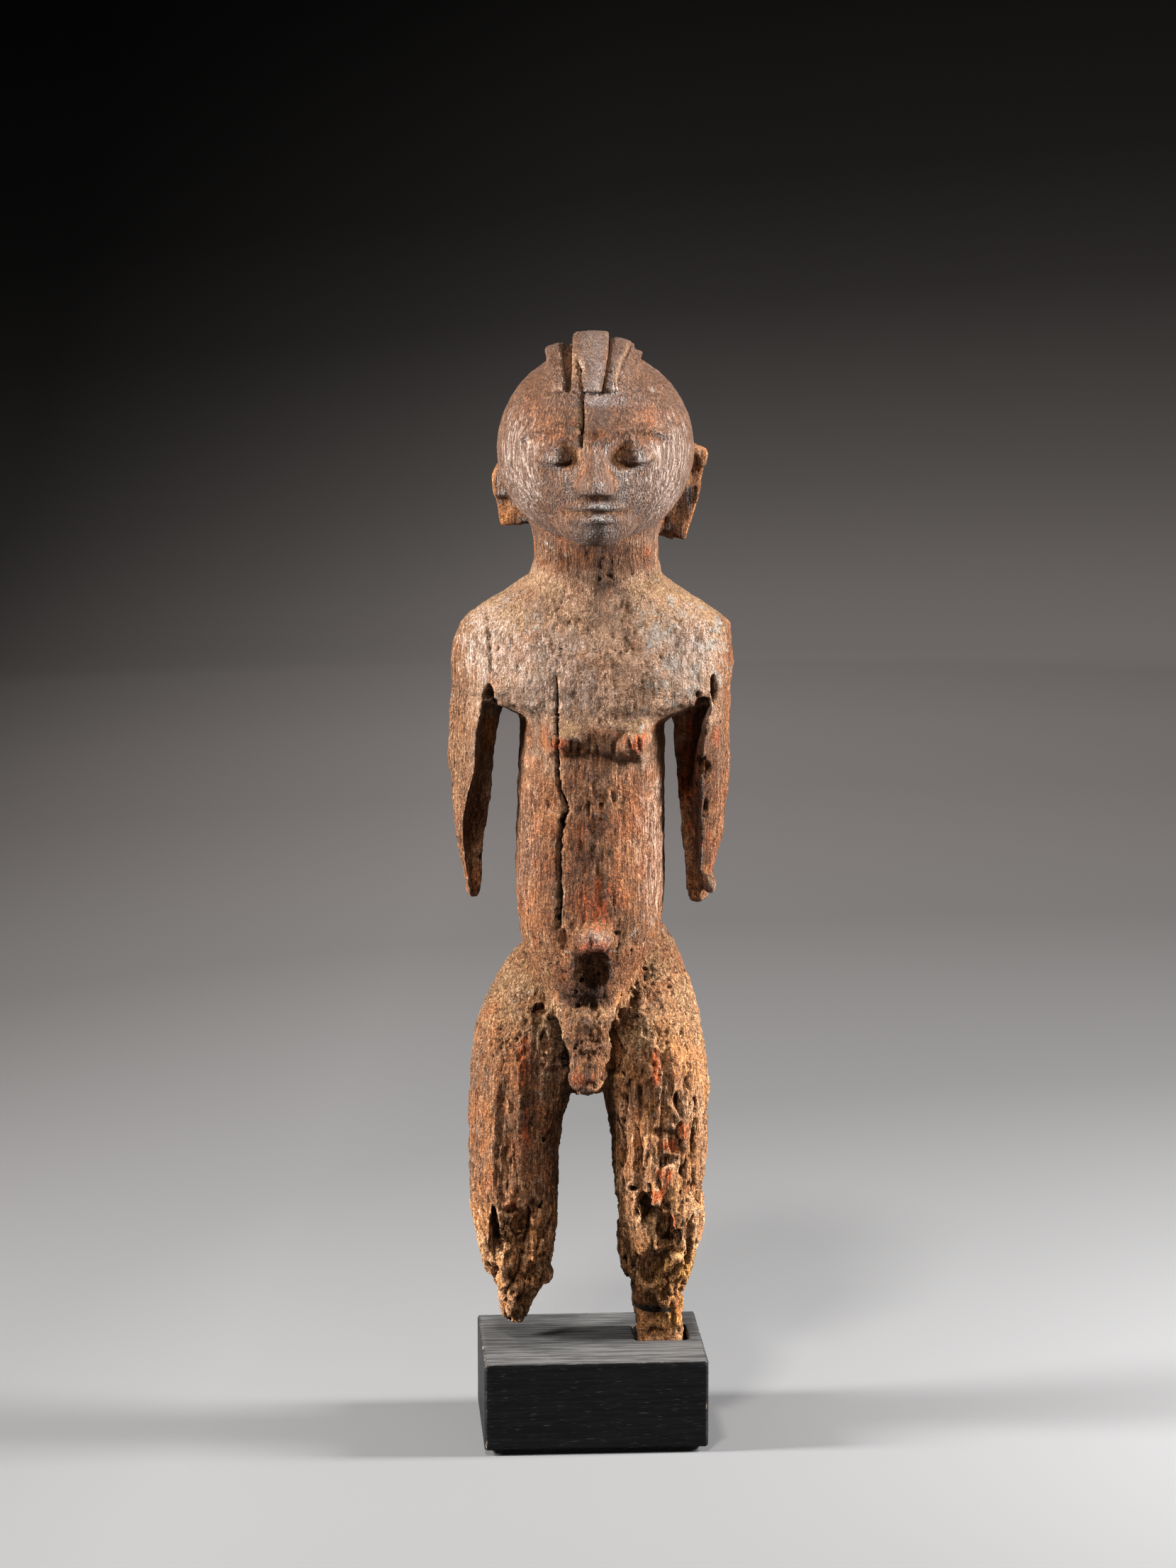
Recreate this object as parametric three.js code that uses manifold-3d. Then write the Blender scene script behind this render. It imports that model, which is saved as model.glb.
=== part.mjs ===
// A standing male figure carved from one log of dense hardwood, weathered, with its hands and
// feet lost. The stump of its right leg (on the +X side) stands in a mortise of a low black
// wooden block, and the left leg ends in the air above it. A thin pad lies under the block.
//
// Lengths are millimetres and +Z is up. The origin is the middle of the pad's underside. The
// block is square to the axes, with its front at -Y. The figure is laid out in a frame of its
// own, facing -Y, which stands a few degrees turned on the block.
import * as THREE from "three";
import { mergeVertices } from "three/addons/utils/BufferGeometryUtils.js";
import Module from "manifold-3d";

// Driving dimensions of the mount
const blockWidth = 110;
const blockDepth = 86;
const blockHeight = 44.3;
const blockCornerRadius = 0.8;
const blockBevel = 0.7;
const padThickness = 2.5;
const padInset = 4;
const mortiseWidth = 26.4;
const mortiseDepth = 25.6;
const mortiseDrop = 27;
const stumpGap = 0.3;
const blockTop = padThickness + blockHeight;

// How the figure stands on the block
const figureTurn = THREE.MathUtils.degToRad(-3.6);
const figureShift = new THREE.Vector3(-1.6, 0.1, 0);

// Driving dimensions of the head, in the figure's frame
const headCentre = new THREE.Vector3(3.6, -2, 491);
const headRadii = new THREE.Vector3(47.5, 50, 47.5);
const headTilt = THREE.MathUtils.degToRad(-5);
const headHeight = 2 * headRadii.z;
const crestRise = 8;
const crestFootHeight = 521.5;

// Heights that several forms share
const stumpFoot = blockTop - mortiseDrop + stumpGap;
const chestTop = 430;
const navelHeight = 258.5;

// Left and right faces of the stump, and its front and back, inside the mortise
const stump = { left: 24.4, right: 47.4, front: -3.4, back: 19.4 };

// Colours, roughness and metalness of the surfaces
const carvedWood = new THREE.MeshStandardMaterial({ color: 0x83583c, roughness: 0.78, metalness: 0 });
const blackWood = new THREE.MeshStandardMaterial({ color: 0x1c1d1f, roughness: 0.5, metalness: 0 });
const darkFelt = new THREE.MeshStandardMaterial({ color: 0x0c0c0d, roughness: 0.97, metalness: 0 });

const wasm = await Module();
wasm.setup();

// Turns a closed geometry into a solid that can be joined and cut.
function solidOf(geometry) {
  const bare = geometry.clone();
  bare.deleteAttribute("normal");
  bare.deleteAttribute("uv");
  const merged = mergeVertices(bare, 1e-4);
  return new wasm.Manifold(new wasm.Mesh({
    numProp: 3,
    vertProperties: new Float32Array(merged.attributes.position.array),
    triVerts: new Uint32Array(merged.index.array),
  }));
}

// Turns a solid back into a geometry with flat faces.
function geometryOf(solid) {
  const mesh = solid.getMesh();
  const geometry = new THREE.BufferGeometry();
  const corners = new Float32Array(mesh.vertProperties);
  geometry.setAttribute("position", new THREE.BufferAttribute(corners, 3));
  geometry.setIndex(new THREE.BufferAttribute(new Uint32Array(mesh.triVerts), 1));
  geometry.computeVertexNormals();
  return geometry;
}

function joined(solids) {
  return solids.reduce((whole, piece) => whole.add(piece));
}

function cutBy(solid, tools) {
  return tools.reduce((rest, tool) => rest.subtract(tool), solid);
}

// Skins closed rings of equal length, listed from the bottom up and each anticlockwise from
// above, and closes both ends with a fan about the ring's middle.
function skinOf(rings) {
  const sides = rings[0].length;
  const middles = [rings[0], rings[rings.length - 1]].map((ring) =>
    ring.reduce((sum, point) => sum.add(point), new THREE.Vector3()).divideScalar(sides));
  const corners = [...rings.flat(), ...middles];
  const bottom = corners.length - 2;
  const top = corners.length - 1;
  const lastRing = (rings.length - 1) * sides;
  const faces = [];
  for (let side = 0; side < sides; side++) {
    const next = (side + 1) % sides;
    for (let start = 0; start < lastRing; start += sides) {
      faces.push(start + side, start + next, start + sides + next);
      faces.push(start + side, start + sides + next, start + sides + side);
    }
    faces.push(bottom, next, side);
    faces.push(top, lastRing + side, lastRing + next);
  }
  const geometry = new THREE.BufferGeometry().setFromPoints(corners);
  geometry.setIndex(faces);
  return solidOf(geometry);
}

// Reads a row of values part of the way up a list of stations, on a spline through them.
function rowAt(stations, share) {
  return stations[0].map((_, column) => {
    const track = stations.map((station, row) => new THREE.Vector2(row, station[column]));
    return new THREE.SplineCurve(track).getPoint(share).y;
  });
}

function signedPower(value, power) {
  return Math.sign(value) * Math.abs(value) ** power;
}

// Lumps of worn wood, between about -1 and 1, by the way round a form and the height.
function wear(angle, height) {
  const broad = 0.5 * Math.sin(3 * angle + height / 5.3);
  const middling = 0.3 * Math.sin(7 * angle - height / 3.4 + 2);
  return broad + middling + 0.25 * Math.sin(4 * angle + height / 2.1 + 4);
}

// A form that runs up the figure. A station holds the height, the left and right faces, the
// front and back, the squareness of the level (2 is an ellipse) and the depth of its wear.
function carvedForm(stations, levels, sides) {
  const rings = [];
  for (let level = 0; level <= levels; level++) {
    const row = rowAt(stations, level / levels);
    const [height, left, right, front, back, squareness, worn] = row;
    const ring = [];
    for (let side = 0; side < sides; side++) {
      const angle = (2 * Math.PI * side) / sides;
      const lump = worn * wear(angle, height);
      const across = signedPower(Math.cos(angle), 2 / squareness);
      const along = signedPower(Math.sin(angle), 2 / squareness);
      ring.push(new THREE.Vector3(
        (left + right + (right - left) * across) / 2 + lump * Math.cos(angle),
        (front + back + (back - front) * along) / 2 + lump * Math.sin(angle),
        height));
    }
    rings.push(ring);
  }
  return skinOf(rings);
}

// An ellipsoid, turned about the Y axis by a lean in degrees.
function pebble(centre, radii, lean = 0, detail = 10) {
  const geometry = new THREE.SphereGeometry(1, detail, Math.round(detail * 0.6));
  geometry.rotateX(Math.PI / 2);
  geometry.scale(...radii);
  geometry.rotateY(THREE.MathUtils.degToRad(lean));
  geometry.translate(...centre);
  return solidOf(geometry);
}

// A slab whose outline is drawn from the front, in x and z, between two depths.
function frontSlab(outline, front, back) {
  const shape = new THREE.Shape(outline.map(([x, z]) => new THREE.Vector2(x, z)));
  const geometry = new THREE.ExtrudeGeometry(shape, { depth: back - front, bevelEnabled: false });
  geometry.rotateX(Math.PI / 2);
  geometry.translate(0, back, 0);
  return solidOf(geometry);
}

// A slab whose outline is drawn from above, in x and y, between two heights.
function planSlab(outline, foot, top) {
  const shape = new THREE.Shape(outline.map(([x, y]) => new THREE.Vector2(x, y)));
  const geometry = new THREE.ExtrudeGeometry(shape, { depth: top - foot, bevelEnabled: false });
  geometry.translate(0, 0, foot);
  return solidOf(geometry);
}

// A slab whose outline is drawn from the right side, in y and z, between two places across.
function sideSlab(outline, left, right) {
  const shape = new THREE.Shape(outline.map(([y, z]) => new THREE.Vector2(y, z)));
  const geometry = new THREE.ExtrudeGeometry(shape, { depth: right - left, bevelEnabled: false });
  geometry.rotateX(Math.PI / 2);
  geometry.rotateZ(Math.PI / 2);
  geometry.translate(left, 0, 0);
  return solidOf(geometry);
}

// An open drying crack: a thin blade along a line drawn from the front in x and z.
function crack(line, width, front, back) {
  const edge = (side) => line.map(([x, z], place) => {
    const share = place / (line.length - 1);
    return [x + side * width * Math.sin(Math.PI * (0.08 + 0.84 * share)), z];
  });
  return frontSlab([...edge(-0.5), ...edge(0.5).reverse()], front, back);
}

// The trunk, from the loins up into the chest, fullest at the navel
function trunk() {
  return carvedForm([
    [196, -12, 10, -27, 20, 2.2, 0],
    [209, -15, 12.5, -28, 27, 2.2, 0],
    [221, -18.5, 16, -29, 32, 2.2, 0],
    [237, -27, 26, -34, 36, 2.2, 0],
    [249, -32.4, 33.4, -38.5, 36, 2.2, 0],
    [261, -34.3, 35.4, -40.5, 34, 2.15, 0],
    [276, -35.4, 36.5, -39.5, 31, 2.1, 0],
    [300, -35, 37.6, -36.5, 28.5, 2.1, 0],
    [330, -34.5, 37.5, -34.5, 28, 2.1, 0],
    [362, -33.7, 37.2, -34, 28, 2.1, 0],
    [395, -34, 38, -30, 27, 2.1, 0],
  ], 15, 24);
}

// The chest and shoulders, which close in to the trunk below the armpits
function chest() {
  return carvedForm([
    [355, -31, 35, -28, 25, 2.1, 0],
    [363, -36.5, 43.5, -32, 27, 2.2, 0],
    [367, -47, 56, -33.5, 28, 2.3, 0],
    [374, -64, 67.5, -34, 28.5, 2.45, 0],
    [386, -66.5, 70.4, -32, 29, 2.5, 0.3],
    [400, -64.4, 69.9, -29, 28, 2.5, 0.4],
    [407, -61.8, 67.9, -27.5, 27.5, 2.4, 0.4],
    [412.4, -55.7, 60.6, -26, 27, 2.3, 0.3],
    [420.5, -41.7, 48.2, -25, 28, 2.2, 0.3],
    [chestTop, -27, 34, -23, 28, 2.1, 0],
  ], 11, 26);
}

// An arm that has split along the grain. A station holds the height, the outer face, the front
// ridge, the inner face, the front, the back, the depth of the hollow between ridge and inner
// face, and how far the outer face swells beyond a flat split.
function splitArm(stations, levels) {
  const rings = [];
  for (let level = 0; level <= levels; level++) {
    const row = rowAt(stations, level / levels);
    const [height, outer, ridge, inner, front, back, hollow, swell] = row;
    const way = Math.sign(outer);
    const deep = (share) => front + share * (back - front);
    const flank = (share) => ridge + share * (inner - ridge);
    const width = Math.abs(outer - inner);
    const ring = [
      [ridge, front],
      [flank(0.35), deep(0.3) + hollow],
      [flank(0.75), deep(0.42) + 0.7 * hollow],
      [inner, deep(0.55)],
      [inner + way * 0.14 * width, deep(0.84)],
      [(inner + outer) / 2, back],
      [outer - way * 0.16 * width, deep(0.88)],
      [outer, deep(0.62)],
      [outer + (ridge - outer) * 0.3 + way * 0.7 * swell, deep(0.43) - 0.7 * swell],
      [outer + (ridge - outer) * 0.65 + way * 0.4 * swell, deep(0.22) - 0.9 * swell],
    ].map(([x, y]) => new THREE.Vector3(x, y, height));
    rings.push(way > 0 ? ring.reverse() : ring);
  }
  return skinOf(rings);
}

function leftArm() {
  return splitArm([
    [270.5, -58, -57, -54, -1, 4, 0, 0],
    [275, -59.9, -58, -52, -5, 8, 1, 0],
    [287, -62.3, -59.5, -51.1, -10, 11, 2, 0.5],
    [302, -65, -60.8, -50.2, -13, 13, 3, 1.5],
    [318, -66.5, -59.8, -47.9, -16, 15, 4, 0],
    [336, -67.3, -54.8, -46, -18, 17, 4.5, 0],
    [353, -67.7, -54.4, -43.4, -20, 18, 4.5, 0],
    [367, -67.5, -51.4, -40.5, -22, 19, 4, 0],
    [390, -64, -49, -36, -21, 18, 1, 0],
  ], 13);
}

function rightArm() {
  const shaft = splitArm([
    [267.5, 57, 54, 50.5, 0, 5, 0, 0],
    [272, 60.5, 55, 48.2, -4, 8, 1, 0.5],
    [285, 62.8, 54.5, 46.9, -9, 11, 2, 1],
    [300, 66, 55, 45.7, -12, 14, 4, 2],
    [318, 67.9, 55, 43.6, -15, 16, 5, 2],
    [338, 69.2, 55, 42, -17, 17, 6, 2],
    [356, 69.5, 56.5, 41, -20, 18, 6, 2],
    [371, 69.7, 60, 39.5, -22, 19, 5, 2],
    [390, 67, 58, 36, -20, 18, 1, 0],
  ], 13);
  return shaft.add(pebble([59.2, -6.5, 278.5], [4.2, 5, 5.5]));
}

// The bar of the breast: two drooping knobs on one swelling, and the knob of the navel
function breast() {
  return joined([
    pebble([-7.4, -31.5, 354.5], [13, 7.5, 7.5]),
    pebble([22, -27.5, 354.2], [9, 9, 7.4]),
    pebble([6, -31, 357.5], [18, 6, 6.5]),
  ]);
}

function navel() {
  return pebble([2.9, -39.5, navelHeight], [9.5, 8.5, 7.3]);
}

// The loins: a plain tapering pendant form, and the web of wood between the thighs behind it
function loins() {
  const pendant = carvedForm([
    [178.5, -5, 3.5, -31, -20, 2, 0],
    [183, -9, 7.5, -35, -16, 2, 0],
    [192, -11.8, 10.2, -37, -10, 2, 0],
    [205, -14.4, 12.6, -32, -5, 2.1, 0],
    [217, -17, 14.6, -31, 0, 2.2, 0],
    [225, -18, 16, -28, 0, 2.2, 0],
  ], 6, 12);
  const web = carvedForm([
    [172, -8, 7, -8, 24, 2.2, 0],
    [175, -12, 10, -14, 30, 2.4, 0],
    [186, -16, 15, -20, 34, 2.4, 0],
    [214, -30, 30, -22, 36, 2.4, 0],
    [238, -30, 31, -18, 34, 2.4, 0],
  ], 5, 12);
  return pendant.add(web);
}

// The left leg, from its rotted tip up into the haunch
function leftLeg() {
  const limb = carvedForm([
    [53.8, -40, -34, -3, 4, 2, 0.3],
    [57, -41.8, -29.8, -7, 9, 2.1, 0.8],
    [64, -44.2, -28, -11, 13, 2.2, 1.3],
    [74, -45.8, -23, -16, 17, 2.3, 1.4],
    [84, -50.8, -19.6, -20, 21, 2.4, 1],
    [98, -55.4, -15.6, -24, 24, 2.5, 0.7],
    [114, -57.9, -14.3, -28, 26, 2.5, 0.5],
    [132, -58.9, -14.5, -28.5, 28, 2.5, 0.4],
    [152, -59.2, -13.4, -27, 32, 2.5, 0.4],
    [172, -58.3, -8, -27, 38, 2.5, 0.3],
    [191, -57, -3, -26.5, 44, 2.4, 0.2],
    [208, -54.6, -1, -23.5, 47, 2.3, 0],
    [223, -48, -1, -16, 46, 2.2, 0],
    [235, -40.6, -4, -6, 42, 2.1, 0],
    [242, -34, -9, 5, 36, 2, 0],
    [244.5, -27, -16, 15, 28, 2, 0],
  ], 22, 16);
  const kneeLedge = pebble([-32, -34, 111.5], [10.5, 10, 13.5]);
  const sideGroove = crack([[-46.4, 121], [-45.6, 112], [-46.2, 101], [-46, 90]], 4.5, -40, -16);
  const hollowEnd = pebble([-32.5, -10, 60.5], [4.6, 7, 5]);
  return cutBy(limb, [kneeLedge, sideGroove, hollowEnd]);
}

// The right leg, deeply worn in front, down to the squared stump in the mortise
function rightLeg() {
  const limb = carvedForm([
    [58, 23, 47.2, -4, 20, 2.8, 0.3],
    [66, 21.4, 47.8, -8, 21, 2.5, 1],
    [77, 19.8, 49.6, -14, 23, 2.4, 1.2],
    [88, 18.2, 53.6, -19.5, 24, 2.4, 1],
    [101, 15.8, 56.8, -24, 25, 2.5, 0.8],
    [118, 14.2, 58, -27.5, 26, 2.5, 0.7],
    [136, 12.2, 59.1, -28, 29, 2.5, 0.6],
    [155, 11, 60, -27.5, 33, 2.5, 0.5],
    [175, 6, 60.1, -27, 39, 2.5, 0.4],
    [193, 2.5, 58, -26, 44, 2.4, 0.2],
    [208, 1, 55.6, -22.5, 47, 2.3, 0],
    [223, 1.5, 51.3, -16, 47, 2.2, 0],
    [238, 5, 45.2, -6, 43, 2.1, 0],
    [249, 11, 39.6, 5, 37, 2, 0],
    [254.5, 19, 33, 15, 29, 2, 0],
  ], 21, 16);
  const { left, right, front, back } = stump;
  const foot = carvedForm([
    [stumpFoot, left, right, front, back, 7, 0],
    [stumpFoot + 14, left, right, front, back, 7, 0],
    [blockTop, left, right, front, back, 7, 0],
    [60, left - 1, right, front - 0.6, back, 5, 0.3],
    [70, left - 1.5, right - 1, front, back, 3, 0.5],
  ], 5, 12);
  const rearFlap = carvedForm([
    [72, 18.5, 21.5, 17, 24, 2, 0],
    [78, 15.6, 21, 15, 25, 2, 0.3],
    [92, 14.2, 21, 13, 25, 2, 0.3],
    [102.5, 15, 21, 15, 22, 2, 0],
  ], 3, 6);
  const slantHollow = pebble([36.5, -27, 108.5], [6.6, 11, 21], -31);
  const lowHollow = pebble([30.5, -18.5, 86], [8, 9.5, 13], 20);
  const stumpFacet = frontSlab([[24.6, 61.6], [36.4, 61.6], [29.6, 75]], -20, -1.6);
  return cutBy(joined([limb, foot, rearFlap]), [slantHollow, lowHollow, stumpFacet]);
}

// The neck and the head, a ball a little longer from front to back
function neck() {
  return carvedForm([
    [417, -40, 46, -25, 29, 2.1, 0],
    [423, -34, 40.5, -24.5, 29.5, 2.1, 0],
    [chestTop, -28, 35.4, -24, 30, 2.1, 0],
    [438, -25.9, 33.7, -23.5, 30, 2.1, 0],
    [447, -26.6, 34, -23.5, 30.5, 2.1, 0],
    [456, -29, 36, -23, 32, 2.1, 0],
    [468, -30, 37, -20, 33, 2.1, 0],
  ], 6, 20);
}

// A face of plain proportions: the eyes half way up the head, five eye widths across it, and
// three equal parts from the hairline to the brow, the foot of the nose and the chin. It is
// laid out about the middle of the head, before the head is tilted back.
const eyeWidth = headHeight / 5;
const facePart = (crestFootHeight - headCentre.z + headRadii.z) / 3;
const noseFoot = facePart - headRadii.z;
const browLine = noseFoot + facePart;
const mouthLine = noseFoot - facePart / 3;

function eyes() {
  return [-1, 1].map((side) =>
    pebble([side * eyeWidth, -40.5, browLine - 8.5], [eyeWidth / 2 + 0.8, 7.2, 6.4], 0, 12));
}

function eyeSockets() {
  return [-1, 1].map((side) =>
    pebble([side * eyeWidth * 0.98, -54, browLine - 8.5], [15, 12, 11.5], side * 6, 12));
}

function nose() {
  const root = browLine + 1;
  const rows = [
    [noseFoot, eyeWidth / 2, -58],
    [noseFoot + 5, eyeWidth / 2, -59.5],
    [noseFoot + 13, 6.6, -55.5],
    [root, 3.6, -49],
  ];
  return skinOf(rows.map(([height, half, front]) => [
    [0, front],
    [half * 0.6, front + 2.4],
    [half, -45 + Math.abs(height - root) * 0.12],
    [half, -30],
    [-half, -30],
    [-half, -45 + Math.abs(height - root) * 0.12],
    [-half * 0.6, front + 2.4],
  ].map(([x, y]) => new THREE.Vector3(x, y, height))));
}

function mouthAndChin() {
  const lip = (height, half, reach, fullness) =>
    pebble([0, -33, height], [half, reach, fullness], 0, 14);
  return joined([
    pebble([0, -25, mouthLine - 2.5], [21, 15.8, 14], 0, 14),
    lip(mouthLine + 2.7, eyeWidth - 1, 11.4, 3.5),
    lip(mouthLine - 3.3, eyeWidth - 3, 10.6, 4),
  ]);
}

// The brow: one rib that arches over both eyes and dips to the root of the nose
function brow() {
  const onBall = (x, z) => -headRadii.y * Math.sqrt(1 - (x / headRadii.x) ** 2 - (z / headRadii.z) ** 2);
  const places = [-1.85, -1.5, -1, -0.5, 0, 0.5, 1, 1.5, 1.85].map((share) => {
    const x = share * eyeWidth;
    const z = browLine + 5 - 7 * (1 - Math.abs(share)) ** 2;
    return new THREE.Vector3(x, onBall(x, z) + 0.6, z);
  });
  const section = new THREE.Shape().absellipse(0, 0, 3.1, 3.1, 0, 2 * Math.PI);
  return solidOf(new THREE.ExtrudeGeometry(section, {
    steps: 12,
    curveSegments: 2,
    extrudePath: new THREE.CatmullRomCurve3(places),
  }));
}

// The head is shaped about its own middle, then tilted back and set on the neck.
function head() {
  const ball = new THREE.SphereGeometry(1, 26, 18);
  ball.rotateX(Math.PI / 2);
  ball.scale(headRadii.x, headRadii.y, headRadii.z);
  const shaped = cutBy(solidOf(ball), eyeSockets());
  const whole = joined([shaped, ...eyes(), brow(), nose(), mouthAndChin()]);
  const tilt = THREE.MathUtils.radToDeg(headTilt);
  return whole.rotate([tilt, 0, 0]).translate(headCentre.toArray());
}

// The crest: tresses that fan from the hairline over the crown. A tress holds its two edges at
// the hairline and at the crown, and how far it stands below the highest.
function crest() {
  const crown = headCentre.z + headRadii.z + crestRise;
  const tresses = [
    { foot: [-15.2, -9.9], top: [-21.5, -11.7], drop: 3 },
    { foot: [-8, -3.8], top: [-9.5, -5], drop: 5 },
    { foot: [-2.6, 5.4], top: [-6.2, 10], drop: 0 },
    { foot: [7.4, 14.4], top: [12.9, 25], drop: 2.6 },
    { foot: [12, 18], top: [20, 31.5], drop: 5.4 },
  ];
  return joined(tresses.map(({ foot, top, drop }) => {
    const shell = pebble(
      [headCentre.x, 0.5, headCentre.z],
      [headRadii.x + crestRise, 52.2 - drop / 3, headRadii.z + crestRise - drop],
      0, 24);
    const outline = [
      [foot[0], crestFootHeight],
      [foot[1], crestFootHeight],
      [top[1], crown],
      [top[0], crown],
    ];
    return shell.intersect(frontSlab(outline, -60, 60));
  }));
}

// An ear: a flange behind the cheek, square-cut below, with a hollow open to the front. The
// outline is drawn from the front.
function ear(outline, hollowFoot, hollowTop) {
  const flange = frontSlab(outline, 5, 27);
  const opening = [[0, hollowFoot], [16, hollowFoot + 2], [18, hollowTop - 4], [0, hollowTop]];
  const hollow = sideSlab(opening, -80, 80);
  const rootOutline = outline.map(([x, z]) => [headCentre.x + (x - headCentre.x) * 0.86, z]);
  return cutBy(flange, [hollow]).add(frontSlab(rootOutline, 7, 25));
}

function ears() {
  const left = [[-30, 482], [-30, 453.4], [-41.8, 452.3], [-46, 469], [-46.6, 475.8], [-44, 481]];
  const right = [[34, 449], [46.7, 445.4], [53.5, 465.5], [57.9, 487.5], [51.3, 490.3], [36, 491]];
  return [ear(left, 458, 468), ear(right, 471, 482.5)];
}

// The whole figure as one solid: forms joined, then the pits and cracks cut
function figure() {
  const splitFace = planSlab([[-49, -26], [-49, -60], [-90, -60], [-90, -3], [-67.6, -3]], 350, 411);
  const chestAndArms = joined([cutBy(chest(), [splitFace]), leftArm(), rightArm()]);
  const body = joined([trunk(), chestAndArms, loins(), leftLeg(), rightLeg()]);
  const whole = joined([body, breast(), navel(), neck(), head(), crest(), ...ears()]);
  const bellyHollow = pebble([3.5, -42, navelHeight - 23.5], [14.5, 12, 16]);
  const leftGroin = pebble([-23, -27, 219], [4.8, 11, 12], 8);
  const rightGroin = pebble([20, -25, 212], [7, 9, 9]);
  const spine = pebble([1.5, 36, 325], [6, 10, 80], 0, 12);
  const headCrack = crack([[-5.2, 535], [-3.8, 530.6], [-2.6, 521], [-2.6, 509], [-3.2, 497]], 2, -70, -36);
  const breastLine = [[-15, 384], [-14.5, 360], [-14.3, 334], [-11.6, 325], [-10, 319.5], [-13, 312]];
  const bellyLine = [[-13.8, 300], [-13.7, 284], [-14.4, 264]];
  const bodyCrack = crack([...breastLine, ...bellyLine], 2, -60, -24);
  return cutBy(whole, [
    bellyHollow, leftGroin, rightGroin, spine, headCrack, bodyCrack,
  ]);
}

function roundedRectangle(width, depth, radius) {
  const shape = new THREE.Shape();
  const x = width / 2 - radius;
  const y = depth / 2 - radius;
  shape.absarc(x, y, radius, 0, Math.PI / 2);
  shape.absarc(-x, y, radius, Math.PI / 2, Math.PI);
  shape.absarc(-x, -y, radius, Math.PI, 1.5 * Math.PI);
  shape.absarc(x, -y, radius, 1.5 * Math.PI, 2 * Math.PI);
  return shape;
}

// The block, with fine bevels and a square mortise cut round the stump
function block() {
  const inset = 2 * blockBevel;
  const shape = roundedRectangle(blockWidth - inset, blockDepth - inset, blockCornerRadius);
  const geometry = new THREE.ExtrudeGeometry(shape, {
    depth: blockHeight - inset,
    bevelThickness: blockBevel,
    bevelSize: blockBevel,
    bevelSegments: 1,
    curveSegments: 2,
  });
  geometry.translate(0, 0, padThickness + blockBevel);
  const middle = new THREE.Vector3((stump.left + stump.right) / 2, (stump.front + stump.back) / 2, 0);
  middle.applyAxisAngle(new THREE.Vector3(0, 0, 1), figureTurn).add(figureShift);
  const mortise = new THREE.BoxGeometry(mortiseWidth, mortiseDepth, 2 * mortiseDrop);
  mortise.translate(middle.x, middle.y, blockTop);
  return geometryOf(solidOf(geometry).subtract(solidOf(mortise)));
}

function pad() {
  const shape = roundedRectangle(blockWidth - 2 * padInset, blockDepth - 2 * padInset, 2);
  return new THREE.ExtrudeGeometry(shape, { depth: padThickness, bevelEnabled: false, curveSegments: 2 });
}

function named(name, geometry, material) {
  const mesh = new THREE.Mesh(geometry, material);
  mesh.name = name;
  return mesh;
}

const standing = new THREE.Group();
standing.position.copy(figureShift);
standing.rotation.z = figureTurn;
standing.add(named("figure", geometryOf(figure()), carvedWood));

const group = new THREE.Group();
group.add(standing);
group.add(named("block", block(), blackWood));
group.add(named("foot_pad", pad(), darkFelt));

export default group;
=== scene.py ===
import itertools
import math

import bmesh
import bpy
import numpy as np
from mathutils import Matrix, Vector, kdtree


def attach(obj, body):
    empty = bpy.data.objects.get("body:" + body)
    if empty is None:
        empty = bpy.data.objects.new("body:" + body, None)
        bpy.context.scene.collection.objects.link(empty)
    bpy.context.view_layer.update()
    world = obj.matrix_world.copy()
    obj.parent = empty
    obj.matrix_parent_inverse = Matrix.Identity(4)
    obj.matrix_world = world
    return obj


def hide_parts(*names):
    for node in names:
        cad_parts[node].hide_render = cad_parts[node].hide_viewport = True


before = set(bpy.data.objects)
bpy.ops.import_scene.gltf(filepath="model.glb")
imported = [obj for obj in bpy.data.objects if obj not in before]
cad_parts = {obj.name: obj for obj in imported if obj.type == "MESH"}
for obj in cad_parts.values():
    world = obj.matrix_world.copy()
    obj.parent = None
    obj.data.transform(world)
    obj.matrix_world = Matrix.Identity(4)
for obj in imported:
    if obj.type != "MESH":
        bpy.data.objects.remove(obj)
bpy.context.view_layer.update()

scene = bpy.context.scene


# The camera: a long lens that looks a little down on the figure, from a few degrees to the left
# of the block's own front.
camera_distance = 2.1947
camera_height = 0.7133
camera_yaw = math.radians(-3.62)
camera_pitch = math.radians(10)
camera_side_step = -0.0016
sensor_height = 36
focal_length = 105


def set_up(name, data):
    """A new object in the scene."""
    thing = bpy.data.objects.new(name, data)
    scene.collection.objects.link(thing)
    return thing


camera_data = bpy.data.cameras.new("camera")
camera_data.sensor_fit = "VERTICAL"
camera_data.sensor_height = sensor_height
camera_data.lens = focal_length
camera_data.clip_end = 40
camera = set_up("camera", camera_data)
turn = Matrix.Rotation(camera_yaw, 3, "Z")
camera.location = turn @ Vector((camera_side_step, -camera_distance, camera_height))
looking = turn @ Vector((0, math.cos(camera_pitch), -math.sin(camera_pitch)))
camera.rotation_euler = looking.to_track_quat("-Z", "Y").to_euler()
scene.camera = camera


# The studio: a pale floor that turns up into a round wall far behind, so that every side has a
# plain background. A strong soft box stands on each side, a smaller one hangs above in front,
# and a weak one far in front fills the shadows.
floor_radius = 4.2
sweep_radius = 1.6
sweep_steps = 24
wall_top = 4.5
floor_sides = 96


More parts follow.
